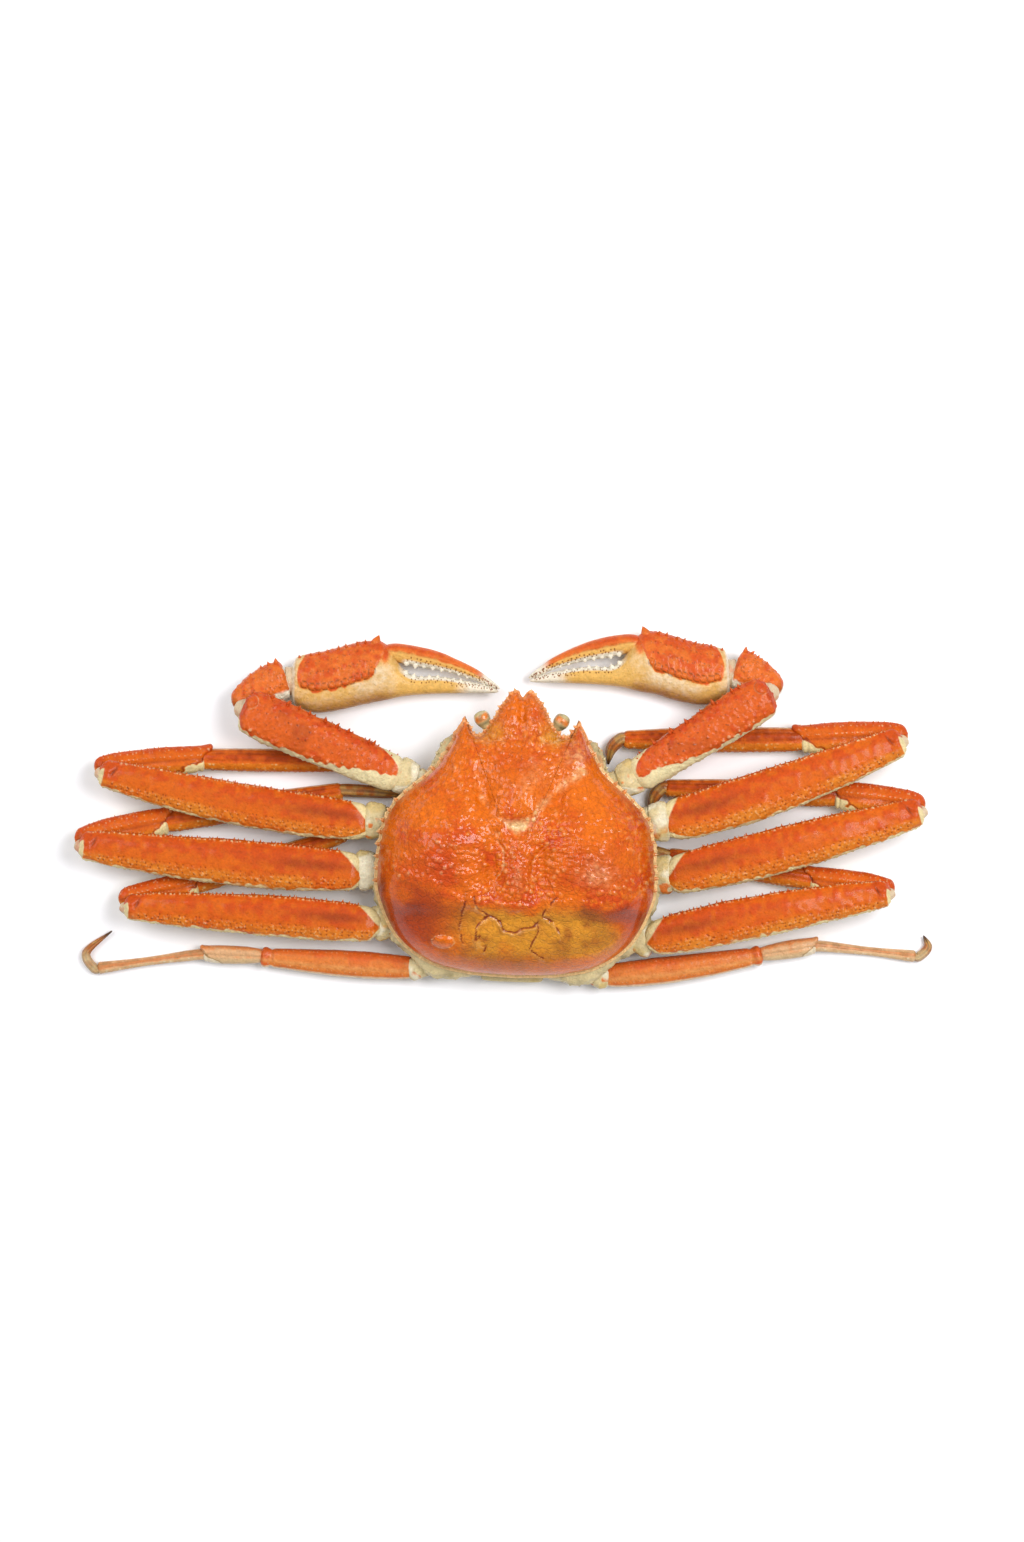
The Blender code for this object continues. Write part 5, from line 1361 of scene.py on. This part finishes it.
def palm(name, spec, seed):
    """The hand with its fixed finger: orange above, beige below, amber and whitish along the finger."""
    rows = hand_rows(spec, PALM_ROWS)
    skin = sweep(rows, 280, 128, rounding=(2.8, 2.0), squareness=2.2, straight=True)
    s, w, up = skin.share, skin.across, skin.rise
    above = ease(-0.2, 0.1, up)
    wander, fine = skin.cloudy(8.0, seed), skin.cloudy(2.0, seed + 1)
    hand = ease(0.5, 0.42, s)
    border = -0.34 + 0.1 * ease(0.12, 0.02, s) + 0.06 * ease(0.2, 0.36, s) + 1.5 * ease(0.37, 0.49, s)
    wrist_cut = ease(0.0, 0.012, s - 0.026 - 0.06 * (w - 0.25) ** 2)
    orange = ease(-0.04, 0.03, w - border + 0.12 * fine) * above * hand * wrist_cut
    orange = np.maximum(orange, hill(s, 0.435 + 0.02 * w, 0.022) * ease(0.1, 0.5, w) * above)
    grains = pebbles(skin.points, 2.4, seed + 7)
    skin.push((0.6 * wander + 0.2 * fine) * hand + 0.4 * grains * orange)
    edge_share = np.linspace(0.07, 0.39, TEETH)
    edge_across = np.interp(edge_share, s[:, 0], border[:, 0]) + 0.15
    large = bumps(skin.points, skin.at(edge_share, edge_across)[0], 2.0, 1.0)
    knob_rows = [(0.3, 1, 0.1, 0.38), (0.34, 1, 0.12, 0.36), (0.66, 1, 0.06, 0.4)]
    knobs = dots(skin, scattered(knob_rows, 2.3, 93.0, seed + 2), 0.75, 0.4)
    skin.push(0.9 * large + knobs - 0.4 * hill(w, border, 0.05) * hand * above)
    beige = (1 - orange) * ease(0.6, 0.44, s)
    rings = hill(large, 0.18, 0.16) * ease(0.01, 0.05, large)
    # Painted shade: the beige darkens towards the rear edge, where the hand rolls under.
    dark = (0.2 + 0.4 * ease(-0.45, -0.95, w)) * beige
    skin.paint(red=orange * (0.35 + 1.6 * fine + 0.5 * ease(0.4, 0.9, w)))
    skin.paint(brown=0.8 * ease(0.35, 0.8, knobs / 0.4) + 0.8 * rings + dark)
    skin.paint(amber=np.maximum(1 - orange, ease(0.46, 0.6, s)) * ease(1.02, 0.8, s))
    skin.paint(pale=(0.18 + 0.16 * ease(-0.9, -0.5, w)) * beige * (1 + 0.8 * wander))
    skin.paint(pale=0.7 * ease(0.035, 0.015, s))
    teeth, hairs = bite_edge(skin, 1, 0.56, seed + 5)
    root, run, forward = hand_frame(spec)
    corner = np.array([*(root + run * 37.2 + forward * 16.4), 9.5])
    thorn_at = np.array([0.04, 0.09, 0.13, 0.17, 0.22, 0.26, 0.31, 0.35])
    spikes = cones(
        *skin.at(thorn_at, 0.93), np.linspace(1.3, 2.0, len(thorn_at)), 0.8, tint_root=(0, 0.8, 0, 0),
        tint_tip=(0, 0, 0.6, 0),
    )
    ahead = (run[0] * 0.45, run[1] * 0.45 + 1.0, 0.1)
    big = cones([corner], [ahead], 4.0, 2.6, sides=14, tint_tip=(0, 0.4, 0.2, 0))
    piece(f"{name}_palm_skin", "claw_shell", [skin.mesh(), teeth, hairs, spikes, big], node=f"{name}_palm")


def finger(name, spec, seed):
    """The moving finger: orange on its outer edge, amber inside and below, whitish at the tip, toothed."""
    rows = hand_rows(spec, FINGER_ROWS)
    skin = sweep(rows, 200, 96, rounding=(2.5, 1.5), squareness=2.2, straight=True)
    s, w, up = skin.share, skin.across, skin.rise
    above = ease(-0.2, 0.1, up)
    fine = skin.cloudy(2.0, seed + 1)
    groove = hill(w, 0.05, 0.12) * above * ease(0.05, 0.15, s)
    skin.push(0.3 * skin.cloudy(5.0, seed) * ease(1.0, 0.7, s) - 0.35 * groove)
    skin.paint(red=(0.8 * hill(w, 0.65, 0.35) + 0.8 * fine) * ease(0.8, 0.35, s))
    skin.paint(brown=0.35 * hill(w, 0.05, 0.1) * above * ease(0.8, 0.5, s))
    skin.paint(amber=0.8 * ease(0.3, -0.1, w + 0.3 * fine) * ease(0.02, 0.14, s))
    skin.paint(amber=ease(-0.1, -0.5, up), pale=0.3 * ease(-0.1, -0.7, up))
    teeth, hairs = bite_edge(skin, -1, 0.24, seed + 5)
    piece(f"{name}_finger_skin", "claw_shell", [skin.mesh(), teeth, hairs], node=f"{name}_finger")


for number, (name, spec) in enumerate(CLAWS.items()):
    seed = 700 + 40 * number
    hip_segment(name, spec["coxa"], spec["hip"], 18.0, 9.0, 6.0, seed, lean=1.6)
    arm_segment(name, spec, seed + 4)
    wrist_segment(name, spec, seed + 14)
    palm(name, spec, seed + 20)
    finger(name, spec, seed + 30)
    root, run, forward = hand_frame(spec)
    joint_skin(f"{name}_hand_joint", [
        (*(root - run * 3.0), 8.4, 6.4, 5.0), (*(root + run * 1.0), 8.0, 6.2, 5.0),
        (*(root + run * 4.0), 7.8, 6.8, 5.0),
    ], seed + 36)
    elbow, hip, heel = (np.array(spec[key]) for key in ("elbow", "hip", "heel"))
    inward = unit(hip - elbow)
    joint_skin(f"{name}_elbow", [
        (*(elbow + inward * 5), 18.6, 4.8, 4.2), (*(elbow + inward * 1.5), 17.8, 4.8, 4.2),
        (*(heel + inward * 1.5), 15.6, 2.8, 3.0),
    ], seed + 38)
print("pieces so far:", len(made_pieces))

# %% [markdown]
# ## Floor, light and camera
#
# The crab lies on a white table under broad soft light, seen straight from above. The camera hangs
# a metre and a half up, so that the high shell and the low legs keep their true sizes.

# %% Floor, light and camera
floor_mesh = bpy.data.meshes.new("floor")
floor_mesh.from_pydata([(-3, -3, 0), (3, -3, 0), (3, 3, 0), (-3, 3, 0)], [], [(0, 1, 2, 3)])
floor = bpy.data.objects.new("floor", floor_mesh)
bpy.context.scene.collection.objects.link(floor)
white = bpy.data.materials.new("White table")
white.use_nodes = True
feed(white.node_tree, white.node_tree.nodes["Principled BSDF"], {
    "Base Color": (0.95, 0.95, 0.985, 1), "Roughness": 0.9, "Specular IOR Level": 0.1,
})
floor_mesh.materials.append(white)

world = bpy.data.worlds.new("Soft studio")
world.use_nodes = True
feed(world.node_tree, world.node_tree.nodes["Background"], {"Color": (1, 1, 1, 1), "Strength": 0.39})
bpy.context.scene.world = world


def soft_light(name, place, aim, size, power):
    """A square area light that the camera can't see, turned to face the aim."""
    lamp = bpy.data.lights.new(name, "AREA")
    lamp.size = size
    lamp.energy = power
    thing = bpy.data.objects.new(name, lamp)
    thing.location = place
    away = Vector(place) - Vector(aim)
    thing.rotation_euler = away.to_track_quat("Z", "Y").to_euler()
    thing.visible_camera = False
    bpy.context.scene.collection.objects.link(thing)


soft_light("Key", (0.55, 0.22, 1.0), (0, 0.02, 0), 0.6, 11.0)
soft_light("Fill", (-0.7, 0.35, 0.9), (0, 0.02, 0), 0.8, 7.0)

SENSOR = 36.0
VIEW_HEIGHT = 1542 * 0.44
CAMERA_PLACE = (-0.00176, 0.04356, 1.5)
camera = bpy.data.objects.new("Camera", bpy.data.cameras.new("Camera"))
camera.location = CAMERA_PLACE
camera.data.sensor_width = SENSOR
camera.data.lens = SENSOR * CAMERA_PLACE[2] / (VIEW_HEIGHT * MM)
bpy.context.scene.collection.objects.link(camera)
bpy.context.scene.camera = camera
bpy.context.scene.view_settings.view_transform = "Standard"
print("camera lens:", round(camera.data.lens, 1), "mm")
print("triangles in all:", sum(count for _, count in made_pieces))
